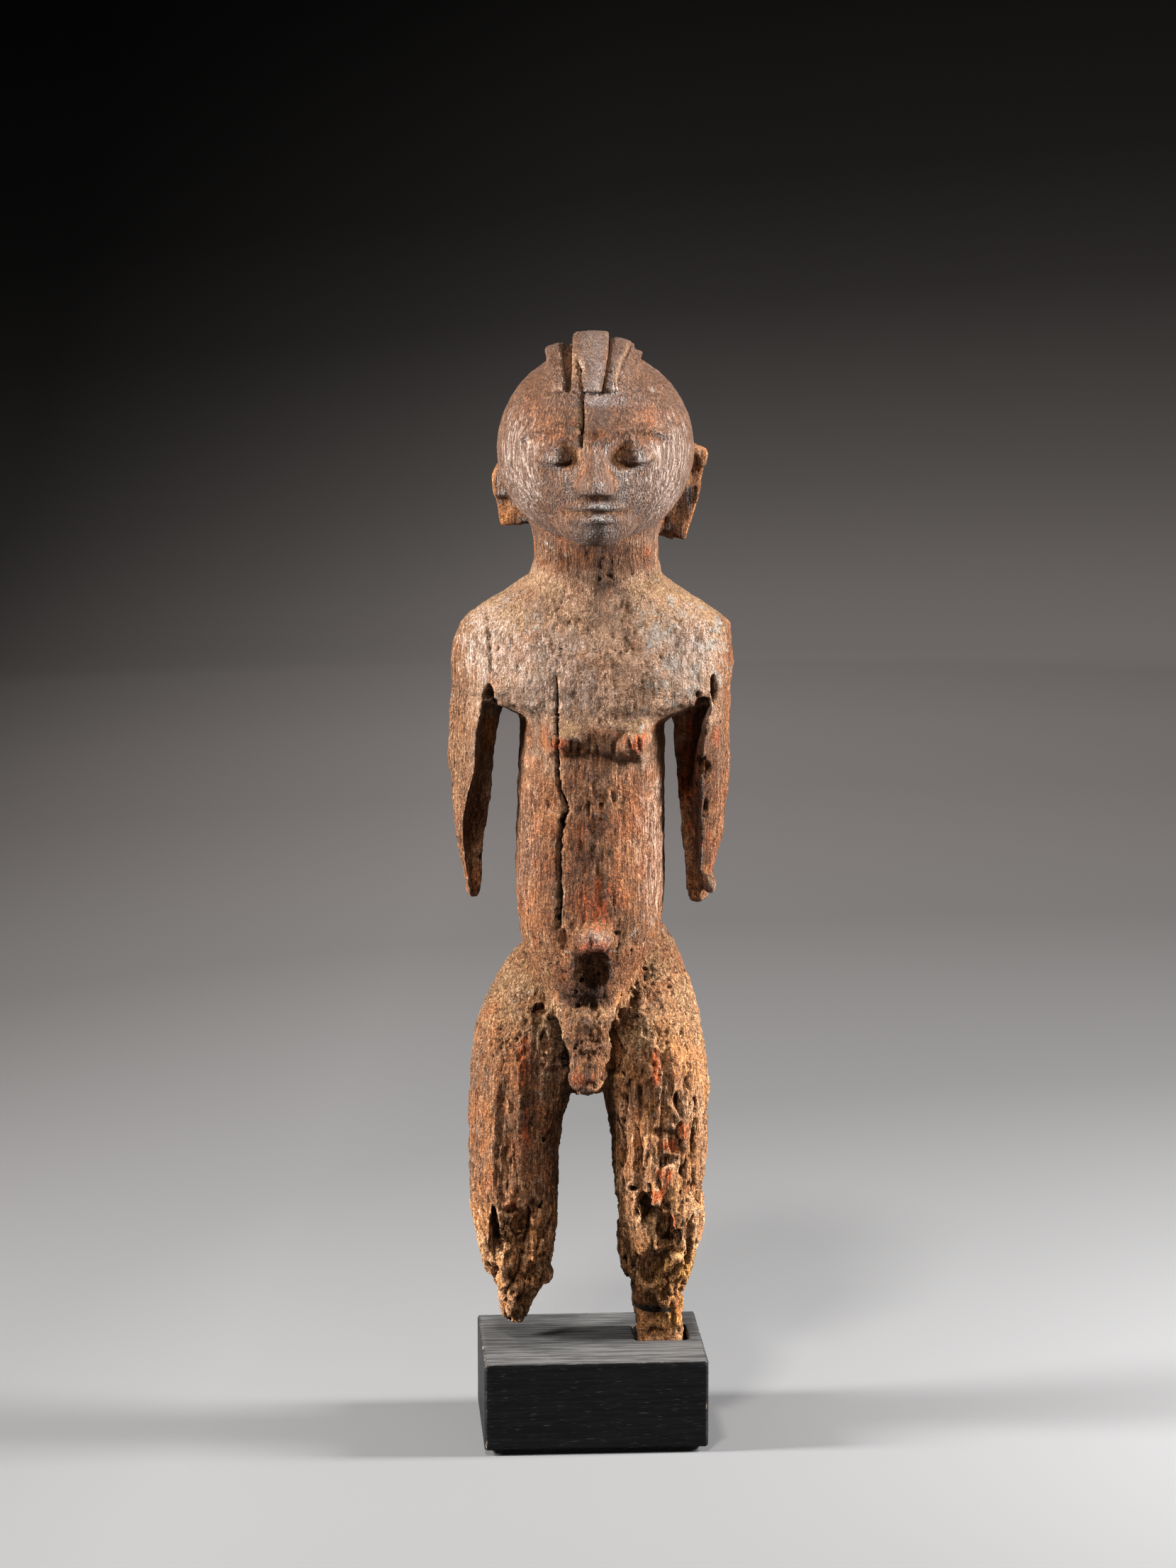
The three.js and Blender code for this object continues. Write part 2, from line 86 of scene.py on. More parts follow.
def studio_floor():
    """A round floor whose rim sweeps up into a wall, spun about the middle."""
    profile = [(0.0, 0.0), (0.5, 0.0), (1.5, 0.0), (floor_radius - sweep_radius, 0.0)]
    for step in range(1, sweep_steps + 1):
        angle = math.pi / 2 * step / sweep_steps
        out = floor_radius - sweep_radius + sweep_radius * math.sin(angle)
        profile.append((out, sweep_radius * (1 - math.cos(angle))))
    profile.append((floor_radius, wall_top))
    corners, faces = [(0.0, 0.0, 0.0)], []
    for radius, height in profile[1:]:
        for side in range(floor_sides):
            angle = 2 * math.pi * side / floor_sides
            corners.append((radius * math.cos(angle), radius * math.sin(angle), height))
    for side in range(floor_sides):
        following = (side + 1) % floor_sides
        faces.append((0, 1 + side, 1 + following))
        for row in range(len(profile) - 2):
            low, high = 1 + row * floor_sides, 1 + (row + 1) * floor_sides
            faces.append((low + side, high + side, high + following, low + following))
    mesh = bpy.data.meshes.new("studio_floor")
    mesh.from_pydata(corners, [], faces)
    mesh.shade_smooth()
    return mesh


backdrop = set_up("studio_floor", studio_floor())


def linked(tree, socket, value):
    """Joins a socket to another one, or gives it a fixed value."""
    if isinstance(value, bpy.types.NodeSocket):
        tree.links.new(value, socket)
    else:
        socket.default_value = value


def reckoned(tree, operation, *values, node="ShaderNodeMath"):
    step = tree.nodes.new(node)
    step.operation = operation
    for socket, value in zip(step.inputs, values):
        linked(tree, socket, value)
    return step.outputs["Value" if operation in ("LENGTH", "DOT_PRODUCT") else 0]


def vectors(tree, operation, *values):
    return reckoned(tree, operation, *values, node="ShaderNodeVectorMath")


def risen(tree, value, low, high, least=0.0, most=1.0, slope="SMOOTHSTEP"):
    """A value brought from least, where it is low, to most, where it is high."""
    step = tree.nodes.new("ShaderNodeMapRange")
    step.interpolation_type = slope
    for socket, number in zip(step.inputs, (value, low, high, least, most)):
        linked(tree, socket, number)
    return step.outputs[0]


def new_material(name):
    """A material, its nodes and the inputs of its shader."""
    material = bpy.data.materials.new(name)
    material.use_nodes = True
    return material, material.node_tree, material.node_tree.nodes["Principled BSDF"].inputs


# The paper's tone is painted light and shade: it is darker near the block, palest at the foot
# of the wall and, as painted falloff, nearly black at the top. Each stop is a share of the floor's
# radius, counted from a spot to the right of the block, and how pale the paper is there. To the
# left of the block painted shade fades the paper to about a quarter.
spot_aside = 0.4
paper_stops = [
    (0.0, 0.13), (0.08, 0.113), (0.17, 0.104), (0.3, 0.14), (0.44, 0.255), (0.52, 0.35),
    (0.62, 0.44), (0.69, 0.33), (0.76, 0.2), (0.84, 0.072), (0.88, 0.036), (0.94, 0.013)]
paper, tree, shader = new_material("paper_with_painted_shade")
place = tree.nodes.new("ShaderNodeTexCoord").outputs["Object"]
beside_spot = vectors(tree, "MULTIPLY_ADD", place, (1, 1, 0), (-spot_aside, 0, 0))
away = vectors(tree, "LENGTH", beside_spot)
tone = tree.nodes.new("ShaderNodeValToRGB")
for stop, (spot, grey) in enumerate(paper_stops):
    if stop > 1:
        tone.color_ramp.elements.new(spot)
    warmth = min(1, max(0, 3 * spot - 0.4))
    tone.color_ramp.elements[stop].position = spot
    tone.color_ramp.elements[stop].color = (
        grey * (1 + 0.08 * warmth), grey, grey * (1.01 - 0.04 * warmth), 1)
linked(tree, tone.inputs["Fac"], reckoned(tree, "DIVIDE", away, floor_radius))
rightward = vectors(tree, "DOT_PRODUCT", place, (1, -0.12, 0))
painted_side_shade = risen(tree, rightward, -0.85, -0.2, 0.27, 1, "LINEAR")
linked(tree, shader["Base Color"], vectors(tree, "MULTIPLY", tone.outputs["Color"], painted_side_shade))
shader["Roughness"].default_value = 0.9
shader["Specular IOR Level"].default_value = 0.1
backdrop.data.materials.append(paper)


def soft_light(name, place, width, height, watts, colour):
    """A rectangular soft box, turned to the middle of the figure."""
    light = bpy.data.lights.new(name, "AREA")
    light.shape = "RECTANGLE"
    light.size, light.size_y = width, height
    light.energy = watts
    light.color = colour
    lamp = set_up(name, light)
    lamp.location = place
    lamp.rotation_euler = (Vector(lit_middle) - Vector(place)).to_track_quat("-Z", "Y").to_euler()
    return lamp


# Each light's place, width, height, watts and colour
lit_middle = (0, 0, 0.32)
soft_light("left_light", (-1.2, -0.1, 0.68), 0.2, 0.5, 73, (1, 0.99, 0.98))
soft_light("right_light", (1.2, -0.06, 0.68), 0.2, 0.5, 79, (1, 0.99, 0.98))
soft_light("key_light", (-0.35, -0.9, 1.85), 0.22, 0.22, 43, (1, 0.985, 0.96))
front_light = soft_light("front_light", (0.6, -2.1, 0.9), 0.5, 0.5, 7, (1, 0.99, 0.97))
front_light.visible_glossy = False
world = bpy.data.worlds.new("studio_air")
world.use_nodes = True
air = world.node_tree.nodes["Background"].inputs
air["Color"].default_value = (0.5, 0.5, 0.52, 1)
air["Strength"].default_value = 0.03
scene.world = world
scene.view_settings.view_transform = "Standard"
scene.view_settings.look = "Medium High Contrast"


# The figure: one log of dense hardwood, shaped with an adze and left outdoors until its surface
# wore down to the fibres. Its hands and feet are gone, and its wood is pitted, cracked and
# split along the grain. The forms come from the frame, and the weathering is carved into them.
figure_turn = math.radians(-3.6)
figure_shift = np.array((-1.6, 0.1, 0.0))
carving_pitch = 0.0009
finished_triangles = 196000
head_centre = np.array((3.6, -2.0, 491.0))
head_tilt = math.radians(-5)
eye_aside = 19
crack_depth = 5.5
rot_depth, trough_depth, hole_depth = 2.4, 1.5, 2.2


def turned_about(points, angle):
    cosine, sine = math.cos(angle), math.sin(angle)
    across = points[:, 0] * cosine - points[:, 1] * sine
    deep = points[:, 0] * sine + points[:, 1] * cosine
    return np.stack([across, deep, points[:, 2]], axis=1)


def into_figure(points):
    """Metres in the frame to millimetres along the figure's own left-right, depth and height."""
    return turned_about(points * 1000 - figure_shift, -figure_turn)


def out_of_figure(points):
    """The way back, from the figure's millimetres to metres in the frame."""
    return (turned_about(points, figure_turn) + figure_shift) / 1000


def as_modified(thing):
    """The mesh that an object's modifiers make."""
    return bpy.data.meshes.new_from_object(
        thing.evaluated_get(bpy.context.evaluated_depsgraph_get()))


def remeshed(node, pitch, fill=None):
    """A copy of a node's mesh, with fill added to it, rebuilt as even squares pitch metres wide."""
    joint = bmesh.new()
    joint.from_mesh(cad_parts[node].data)
    if fill:
        joint.from_mesh(fill)
    start = bpy.data.meshes.new(node + "_start")
    joint.to_mesh(start)
    joint.free()
    helper = set_up("helper", start)
    grid = helper.modifiers.new("grid", "REMESH")
    grid.mode = "VOXEL"
    grid.voxel_size = pitch
    mesh = as_modified(helper)
    bpy.data.objects.remove(helper)
    return mesh


def read_off(items, name, width, kind=float):
    values = np.empty(len(items) * width, dtype=kind)
    items.foreach_get(name, values)
    return values.reshape(-1, width)


def corners_of(mesh):
    return read_off(mesh.vertices, "co", 3)


def edges_of(mesh):
    return read_off(mesh.edges, "vertices", 2, np.int32)


def outward(mesh):
    """The direction straight out of the surface at each corner."""
    return read_off(mesh.vertex_normals, "vector", 3)


def place_corners(mesh, points):
    mesh.vertices.foreach_set("co", points.ravel())
    mesh.update()


def leave_marks(mesh, marks):
    """Keeps named values, one for each corner, for the materials to read."""
    for name, values in marks.items():
        mesh.attributes.new(name, "FLOAT", "POINT").data.foreach_set("value", values)


def neighbour_mean(values, edges):
    """The mean of each corner's neighbours, column by column."""
    count = len(values)
    share = np.bincount(edges.ravel(), minlength=count)
    columns = []
    for column in values.T:
        total = np.bincount(edges[:, 0], weights=column[edges[:, 1]], minlength=count)
        total += np.bincount(edges[:, 1], weights=column[edges[:, 0]], minlength=count)
        columns.append(total / share)
    return np.stack(columns, axis=1)


def relaxed(points, edges, rounds, looseness):
    """Rubs facets away without shrinking: each round lets the surface in and then out again."""
    for _ in range(rounds):
        for step in (0.5, -0.52):
            points = points + step * looseness * (neighbour_mean(points, edges) - points)
    return points


def blurred(values, edges, rounds):
    for _ in range(rounds):
        values = 0.4 * values + 0.6 * neighbour_mean(values, edges)
    return values


def smoothed_piece(node, pitch, rounds, looseness):
    """A node's mesh rebuilt and relaxed, with its edges and its corners in millimetres."""
    mesh = remeshed(node, pitch)
    edges = edges_of(mesh)
    form = relaxed(corners_of(mesh) * 1000, edges, rounds, looseness)
    place_corners(mesh, form)
    return mesh, edges, form


def smooth_facing(mesh, edges, rounds):
    facing = blurred(outward(mesh), edges, rounds)
    return facing / np.linalg.norm(facing, axis=1)[:, None]


def ramp(value, low, high):
    """0 up to low, 1 from high on, and a smooth rise between; high may lie below low."""
    share = np.clip((value - low) / (high - low), 0, 1)
    return share * share * (3 - 2 * share)


def between(value, low, high, soft):
    return ramp(value, low - soft, low) * ramp(value, high + soft, high)


def cell_number(cells, seed):
    """A number from 0 to 1 for each cell of a lattice, the same on every run."""
    mixed = cells[:, 0] * 73856093 ^ cells[:, 1] * 19349663 ^ cells[:, 2] * 83492791 ^ seed * 40503
    mixed = (mixed ^ (mixed >> 13)) * 1274126177
    mixed = (mixed ^ (mixed >> 15)) * 668265263
    return ((mixed ^ (mixed >> 16)) & 0xFFFFF) / 0xFFFFF


cube_edges = np.array([
    way for way in itertools.product((-1, 0, 1), repeat=3) if sum(map(abs, way)) == 2])


def lumps(points, size, seed, octaves=1):
    """Smooth noise between about -1 and 1, whose lumps measure size millimetres each way."""
    total, strength, scaled = 0, 1, points / np.array(size)
    for octave in range(octaves):
        cell = np.floor(scaled).astype(np.int64)
        part = scaled - cell
        ease = part * part * part * (part * (part * 6 - 15) + 10)
        for corner in itertools.product((0, 1), repeat=3):
            number = cell_number(cell + corner, seed + octave)
            slope = cube_edges[(number * 11.999).astype(int)]
            rise = np.einsum("ij,ij->i", slope, part - corner)
            weight = np.prod(np.where(corner, ease, 1 - ease), axis=1)
            total = total + strength * weight * rise
        strength *= 0.5
        scaled = scaled * 2.03 + 7.7
    return total * 1.2


def ridges(points, size, seed, octaves=1):
    """Noise with sharp crests, from 0 in the troughs to 1 on the crests."""
    total, strength, whole = 0, 1, 0
    for octave in range(octaves):
        away = np.abs(lumps(points * 2.03 ** octave, size, seed + octave))
        total = total + strength * (1 - np.minimum(1, 2.2 * away))
        whole += strength
        strength *= 0.5
    return total / whole


def strewn_pits(points, size, seed, share):
    """1 in the middle of pits strewn at random, one to a cell in that share of the cells."""
    scaled = points / np.array(size)
    cell = np.floor(scaled).astype(np.int64)
    deepest = np.zeros(len(points))
    for near in itertools.product((-1, 0, 1), repeat=3):
        home = cell + near
        middle_of = np.stack([cell_number(home, seed + axis) for axis in range(3)], axis=1)
        away = np.linalg.norm(scaled - home - middle_of, axis=1)
        reach = 0.22 + 0.26 * cell_number(home, seed + 3)
        there = cell_number(home, seed + 4) < share
        deepest = np.maximum(deepest, np.where(there, ramp(away, reach, reach * 0.45), 0))
    return deepest


def hollow(points, place, radii, lean=0.0, ragged=0.22, seed=1):
    """1 inside an egg-shaped place, fading at a ragged edge; lean turns it in the front view."""
    depth = np.zeros(len(points))
    near = np.flatnonzero(np.all(np.abs(points - np.array(place)) < 1.5 * max(radii), axis=1))
    away = points[near] - np.array(place)
    angle = math.radians(lean)
    across = away[:, 0] * math.cos(angle) + away[:, 2] * math.sin(angle)
    upward = away[:, 2] * math.cos(angle) - away[:, 0] * math.sin(angle)
    parts = np.stack([across, away[:, 1], upward], axis=1) / np.array(radii)
    reach = np.linalg.norm(parts, axis=1) + ragged * lumps(points[near], (3.2, 3.2, 6.0), seed, 2)
    depth[near] = ramp(reach, 1.0, 0.55)
    return depth


def strongest(points, patches):
    """The strongest, at each place, of hollows given as strength, middle, radii and so on."""
    most = np.zeros(len(points))
    for strength, *patch in patches:
        most = np.maximum(most, strength * hollow(points, *patch))
    return most


def along_line(points, line, sway=0, sway_size=1, seed=1):
    """Across distance from a swaying line drawn from the front in x and z, and the share of
    the way along it."""
    heights = np.array([z for _, z in line])
    places = np.array([x for x, _ in line])
    order = np.argsort(heights)
    middle_of = np.interp(points[:, 2], heights[order], places[order])
    share = (points[:, 2] - heights.min()) / (heights.max() - heights.min())
    aside = points[:, 0] - middle_of
    if sway:
        aside = aside + sway * lumps(points, (50, 50, sway_size), seed, 2)
    return aside, share


def within(points, outline, soft=0.6):
    """1 inside an outline drawn from the front in x and z, fading over soft at its rim."""
    flat = points[:, (0, 2)]
    nearest_edge = np.full(len(points), 1e9)
    inside = np.zeros(len(points), dtype=bool)
    for start, end in zip(np.array(outline), np.roll(outline, -1, axis=0)):
        way = end - start
        share = np.clip((flat - start) @ way / (way @ way), 0, 1)
        away = np.linalg.norm(flat - start - share[:, None] * way, axis=1)
        nearest_edge = np.minimum(nearest_edge, away)
        spans = (start[1] > flat[:, 1]) != (end[1] > flat[:, 1])
        rise = way[1] if way[1] else 1e-9
        inside ^= spans & (flat[:, 0] < start[0] + (flat[:, 1] - start[1]) / rise * way[0])
    return ramp(np.where(inside, nearest_edge, -nearest_edge), -soft, soft)


# The drying cracks of the trunk and the head, as lines drawn from the front in x and z
body_crack = [
    (-15.1, 384), (-14.7, 369), (-14.4, 349), (-14.4, 334), (-13.8, 330), (-11.7, 325),
    (-10, 319.5), (-12.4, 313.6), (-13.8, 303), (-13.8, 289), (-13.5, 278), (-14.2, 262)]
head_crack = [(-5.2, 536), (-3.8, 530.6), (-2.5, 521), (-2.5, 509), (-3.2, 495)]


def closed_crack(line, step=1.5, half_width=2.4, depth=17):
    """A strip that closes a crack of the frame flush with the wood on each side of it, so that
    it can be cut again below at its own fine width."""
    places = np.array(line[::-1])
    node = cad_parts["figure"]
    corners, faces = [], [(0, 3, 2, 1)]
    for height in np.arange(places[0, 1] - 3, places[-1, 1] + 3, step):
        across = np.interp(height, places[:, 1], places[:, 0])
        sunk = []
        for beside in (across - half_width, across + half_width):
            start, inward = out_of_figure(np.array([(beside, -90, height), (beside, -89, height)]))
            inward = (inward - start) * 1000
            met, hit, _, _ = node.ray_cast(start, inward, distance=0.12)
            if met:
                sunk.append(np.array(hit))
        if len(sunk) == 2:
            left, right = sunk
            inward = inward * depth / 1000
            corners += [left, right, right + inward, left + inward]
    last = len(corners) - 4
    for low in range(0, last, 4):
        for side in range(4):
            following = (side + 1) % 4
            faces.append((low + side, low + following, low + 4 + following, low + 4 + side))
    faces.append((last, last + 1, last + 2, last + 3))
    return corners, faces


crack_fill = bpy.data.meshes.new("crack_fill")
fill_corners, fill_faces = [], []
for line in (body_crack, head_crack):
    strip_corners, strip_faces = closed_crack(line)
    first = len(fill_corners)
    fill_corners += strip_corners
    fill_faces += [[first + corner for corner in face] for face in strip_faces]
crack_fill.from_pydata(fill_corners, [], fill_faces)

figure_mesh = remeshed("figure", carving_pitch, crack_fill)
edges = edges_of(figure_mesh)
rough = into_figure(corners_of(figure_mesh))
x, y, z = rough.T

# The stepped, faceted form of the frame is rubbed smooth: less so where the carving is crisp,
# more so at the joint of the split arm and above the brow
whole_rounds, joint_rounds, brow_rounds = 34, 60, 60
on_crest = ramp(z, 517, 522) * between(x, -24, 34, 2)
from_middle = np.abs(x - head_centre[0])
on_ear = np.maximum(
    ramp(from_middle, 46.5, 48.5) * between(z, 440, 495, 2),
    ramp(from_middle, 35, 38) * between(z, 438, 460, 3))
in_mortise = ramp(z, 52, 48)
looseness = 1 - 0.72 * np.maximum.reduce([on_crest, on_ear, in_mortise])
form = relaxed(rough, edges, whole_rounds, looseness[:, None])
arm_seam = ramp(x, -42, -46) * between(z, 374, 394, 6)
form = relaxed(form, edges, joint_rounds, arm_seam[:, None])
forehead = between(x, -24, 30, 5) * between(z, 500, 513, 4) * ramp(form[:, 1], -20, -30)
form = relaxed(form, edges, brow_rounds, forehead[:, None])

# The mesh is drawn together along the cracks, so that they can be cut finer than its squares
for line in (body_crack, head_crack):
    aside, share = along_line(form, line)
    reach = np.minimum(1, np.abs(aside) / 2.6)
    drawn = (0.36 + 0.64 * reach - 1) * between(share, 0, 1, 0.03) * ramp(form[:, 1], -12, -18)
    form[:, 0] += aside * drawn

# The soft slope under the chest, the bar's rounded face, and the swellings at the loin and
# under the navel
chest_rounds, bar_rounds, wide_rounds = 90, 12, 60
soft_chest = between(z, 359, 376, 5) * between(x, -36, 42, 6) * ramp(form[:, 1], -16, -24)
form = form + 0.85 * soft_chest[:, None] * (blurred(form, edges, chest_rounds) - form)
form[:, 1] -= 0.7 * between(z, 358, 368, 5) * between(x, -36, 42, 6) * ramp(form[:, 1], -16, -24)
bar_heights, bar_depths = np.array([
    (342, -29), (344.5, -32.6), (346.5, -34.8), (349, -36.3), (352.5, -37), (356.5, -36.8),
    (361, -34.6), (368, -30)]).T
bar_drop = 1.6 * between(x, 14, 28, 3) - 1.2 * ramp(x, -10, -18)
bar_face = np.interp(form[:, 2] + bar_drop, bar_heights, bar_depths)
bar_face += 0.0022 * (form[:, 0] - 2) ** 2
bar_there = between(x, -17, 25, 5) * between(z, 344, 362, 3) * ramp(form[:, 1], -22, -26)
form[:, 1] += bar_there * (np.minimum(form[:, 1], bar_face) - form[:, 1])
form = relaxed(form, edges, bar_rounds, 0.8 * bar_there[:, None])
loin_front = ramp(form[:, 1], -18, -25)
form[:, 1] -= 3.0 * between(x, -10, 11, 7) * between(z, 204, 214, 7) * loin_front
form[:, 1] -= 1.4 * between(x, -9, 10, 4) * between(z, 229, 245, 4) * loin_front
place_corners(figure_mesh, form)
wide = blurred(form, edges, wide_rounds)
facing = smooth_facing(figure_mesh, edges, 4)
standing_out = np.einsum("ij,ij->i", form - wide, facing)

# Where things are on the smoothed form: 1 on the named part and 0 off it
x, y, z = form.T
front = ramp(facing[:, 1], 0.15, -0.45)
on_head = ramp(z, 441, 452)
on_face = on_head * front * ramp(z, 521, 514)
on_chest = between(z, 362, 432, 6) * ramp(np.abs(x - 3), 66, 60)
on_arms = ramp(np.abs(x - 1), 44, 48) * between(z, 262, 372, 12)
split_face = between(z, 290, 402, 10) * ramp(x, -50.5, -53) * ramp(facing[:, 1], -0.05, -0.4)
on_belly = between(z, 240, 352, 10) * ramp(np.abs(x - 1), 42, 38)
on_legs = ramp(z, 246, 214)
on_shins = ramp(z, 132, 104)
right_leg = ramp(x, -2, 6)
eaten = ramp(z, 214, 150) * (0.35 + 0.65 * right_leg) + 0.9 * on_shins
sawn = right_leg * within(form, [(22, 82), (30, 86), (42, 62), (42, 40), (20, 40)], 3)
sawn = sawn * ramp(facing[:, 1], 0.2, -0.3)
eaten = np.minimum(1.3, eaten) * ramp(z, 49, 56) * (1 - 0.85 * sawn)

# Wear that the whole surface has: a low unevenness from the adze, open fibres, a crust of dirt
# on the chest, and hollows eaten along the grain that deepen down the legs. The whole number
# given to each noise after its sizes is its seed.
carve = 0.9 * lumps(form, (24, 24, 34), 11) * (1 - 0.6 * on_head)
uneven = 1 - 0.75 * on_head - 0.5 * on_chest - 0.3 * on_legs
carve += 0.6 * lumps(form, (8, 8, 10), 13, 3) * uneven
swaying = form + 0.8 * lumps(form, (9, 9, 30), 5)[:, None] * (1, 1, 0)
fibres = ridges(swaying, (2.3, 2.3, 26), 31, 2)
fibre_depth = 0.25 + 0.35 * split_face + 0.6 * on_legs + 0.25 * on_belly + 0.2 * on_arms
carve += fibre_depth * (fibres - 0.6) * (1 - 0.45 * on_face)
crust = ridges(form, (3.4, 3.4, 3.9), 41, 2) - 0.5
patchy = ramp(lumps(form, (13, 13, 13), 43, 2), -0.35, 0.35)
on_hips = between(z, 200, 256, 14)
crusty = 0.25 * on_chest + 0.4 + 0.4 * on_legs + 0.4 * on_hips - 0.32 * on_head
carve += crust * (0.35 + 0.65 * patchy) * crusty
worn = lumps(form, (7.5, 7.5, 19), 51, 3) + 0.35 * lumps(form, (3, 3, 12), 55, 2)
eaten_away = ramp(worn, 0.02, 0.62)
carve -= rot_depth * eaten * eaten_away
troughs = ramp(ridges(form, (9, 9, 46), 61), 0.6, 0.92)
carve -= trough_depth * eaten * troughs
frayed = form + 3.2 * lumps(form, (5, 5, 9), 73, 2)[:, None] * (1, 1, 1.6)
holes = strewn_pits(frayed, (6, 6, 11), 71, 0.34) * np.minimum(1, eaten + 0.5 * on_legs)
carve -= hole_depth * holes
pocks = strewn_pits(frayed, (4.4, 4.4, 6), 77, 0.36)
carve -= pocks * (1.3 * on_hips + 0.55 * on_chest + 0.6 * on_arms)

# Places where the wood is broken, worm-eaten or gouged: depth, middle, radii and, if any, lean,
# on the arms, the chest, the groin, the left leg and the right leg
damage = strongest(form, [
    (4, (-47.5, -24, 375), (3, 9, 5)), (2.5, (-45, -24, 370), (3, 9, 3), 30),
    (2.5, (-52, -10, 290), (1.4, 12, 9)), (3.5, (60.5, -20, 376), (1.8, 9, 10), 4),
    (3.5, (55, -23, 369), (4, 8, 4.5), 20), (2, (50, -23, 366), (2.4, 8, 2.2)),
    (3, (56, -14, 337), (4, 8, 6), 10), (2.5, (57, -14, 317), (1.6, 8, 6), -8),
    (2, (51, -12, 326), (3, 8, 3), 30), (1.2, (-18, -34, 325), (5.5, 8, 9)),
    (1.4, (-21, -34, 325), (1.2, 6, 8), -10), (1.6, (0.5, -36, 321), (1, 6, 5)),
    (1.4, (12, -36, 326), (1.1, 6, 5), 8), (1.2, (6.5, -36, 322), (0.9, 6, 1.6)),
    (4, (-24, -27, 218.5), (7, 12, 7), 12), (2.2, (-26, -27, 231), (4.5, 10, 2), 8),
    (2.5, (-21, -25, 203), (2.6, 9, 6), 10), (4, (21.5, -25, 209), (3, 9, 3)),
    (3.4, (16, -25, 216), (2.4, 9, 6), -12), (2.6, (24, -25, 214), (2.6, 8, 3)),
    (2, (28, -25, 208), (2, 8, 3)), (2, (22, -25, 222), (2, 8, 2.4)),
    (2.6, (14, -34, 232), (3.4, 9, 2.6), 6), (1.6, (-3, -34, 236), (1.6, 9, 1.3)),
    (1.6, (5, -34, 239), (1.4, 9, 1.2)), (1.5, (-6.6, -36, 201.5), (1.3, 8, 3.2), -20),
    (3, (12, -30, 189), (4.6, 12, 6), 20), (1.6, (3, -34, 183.5), (2.2, 6, 3), 20),
    (3.6, (-45.9, -22, 111), (1.3, 12, 13), 1), (3, (-44.5, -22, 99), (3.2, 9, 6), 14),
    (2.4, (-27, -27, 119), (3.6, 7, 7.5), 5), (2, (-37.5, -28, 119), (4.6, 6, 3)),
    (2.6, (-34, -26, 98), (9, 9, 19)), (3, (-36, -20, 83), (6, 8, 6), 20),
    (2.4, (-28, -18, 86), (3, 8, 8)), (3, (-31, -14, 68), (5, 8, 7), 12),
    (3, (-36, -10, 58.5), (4.2, 8, 3)), (2.6, (-50, -18, 117), (2.6, 7, 5)),
    (2.4, (-53, -16, 143), (1.4, 7, 3)), (4.5, (-22, -2, 66), (6, 30, 5), 22),
    (2, (-51, 0, 79), (4.5, 30, 3.6), -35), (5, (28.5, -24, 117), (1.7, 12, 10), -6),
    (4, (39, -24, 101), (5, 10, 11), -38), (3, (30.5, -22, 94.5), (3.4, 8, 3.6)),
    (3.4, (36, -20, 83), (8, 9, 3.6), -26), (2.2, (30.5, -8, 68), (4.6, 9, 5.5)),
    (2.6, (25, -26, 176), (1.3, 9, 8), 3), (2.2, (18.5, -24, 173), (1.4, 9, 4)),
    (2.6, (43.5, -26, 173), (1.8, 9, 7), 10), (3, (46, -26, 151), (1.6, 9, 5)),
    (3, (21.5, -26, 129), (2, 8, 1.8)), (2.6, (16.8, -22, 127), (1.2, 9, 8)),
    (2.2, (16.5, -20, 146), (1.5, 9, 12)), (1.8, (38, -28, 144), (6, 8, 4), 12),
    (1.6, (36, -28, 158), (5, 8, 3.4), -20), (2.2, (48, -20, 126), (2.4, 9, 8)),
    (3, (57, 0, 86), (4.5, 30, 5.5), -12), (2.6, (51, 0, 67), (4.5, 30, 4.5), -25),
    (3.5, (34, -4, 50), (6.5, 6, 4)),
])
carve -= damage

# Lumps that stand proud: the lip of the shin's ledge, the red knot above the recess, the
# splinter lifting off the hip and the ridge across the other shin
carve += 2.2 * hollow(form, (-19, 0, 79), (4, 26, 7), 0, 0.15)
carve += 1.8 * hollow(form, (33.5, -27, 126), (4, 8, 6), 0, 0.3)
carve += 1.9 * ramp(hollow(form, (-56, -6, 213), (5, 12, 7), -12, 0.12), 0.3, 0.6)
carve += 1.2 * hollow(form, (45, -20, 92), (5, 10, 4), -30, 0.3)

# The tresses of the crest, with straight-cut feet and grooves between them
crest_front = on_head * ramp(y, 2, -6)
raised = np.maximum.reduce([within(form, outline, 0.7) for outline in (
    [(-21, 541), (-13.5, 544), (-11.6, 534), (-10.3, 521), (-15.2, 521), (-18.4, 531)],
    [(-6.4, 550), (10.2, 551), (8.6, 536), (6.4, 521), (-8.4, 521), (-7.4, 534)],
    [(11.6, 545), (24, 543), (19.6, 540), (15.6, 533), (13.6, 526), (14.6, 520.5), (7.2, 521),
     (8.6, 533)])])
on_rows = within(form, [(-22, 552), (26, 552), (15, 520), (-15.5, 520)], 1.5)
beside_tress = between(z, 521, 552, 1) * on_rows
carve += crest_front * (1.5 * raised - 1.1 * beside_tress * (1 - raised))

# The bar across the chest: two knobs joined by a rib with notches worn down its face
carve += 2.1 * hollow(form, (21.5, -42, 351.5), (8.5, 14, 7.5), 0, 0.1)
carve += 0.5 * hollow(form, (-14, -42, 353), (6, 14, 5.5), 0, 0.1)
notches = strongest(form, [
    (1, (notch_x, -40, notch_z), (half_width, 12, 5.5), lean, 0.12)
    for notch_x, notch_z, lean, half_width in (
        (-17.6, 353, 8, 0.8), (-8.2, 350, 4, 0.9), (-4.4, 349, -3, 0.8), (0.6, 350.5, 0, 1.1),
        (4.6, 348, 3, 0.7), (12.2, 350, -6, 1.5), (20.2, 351, 14, 0.9), (24.2, 352, 6, 1.0))])
carve -= 0.95 * notches

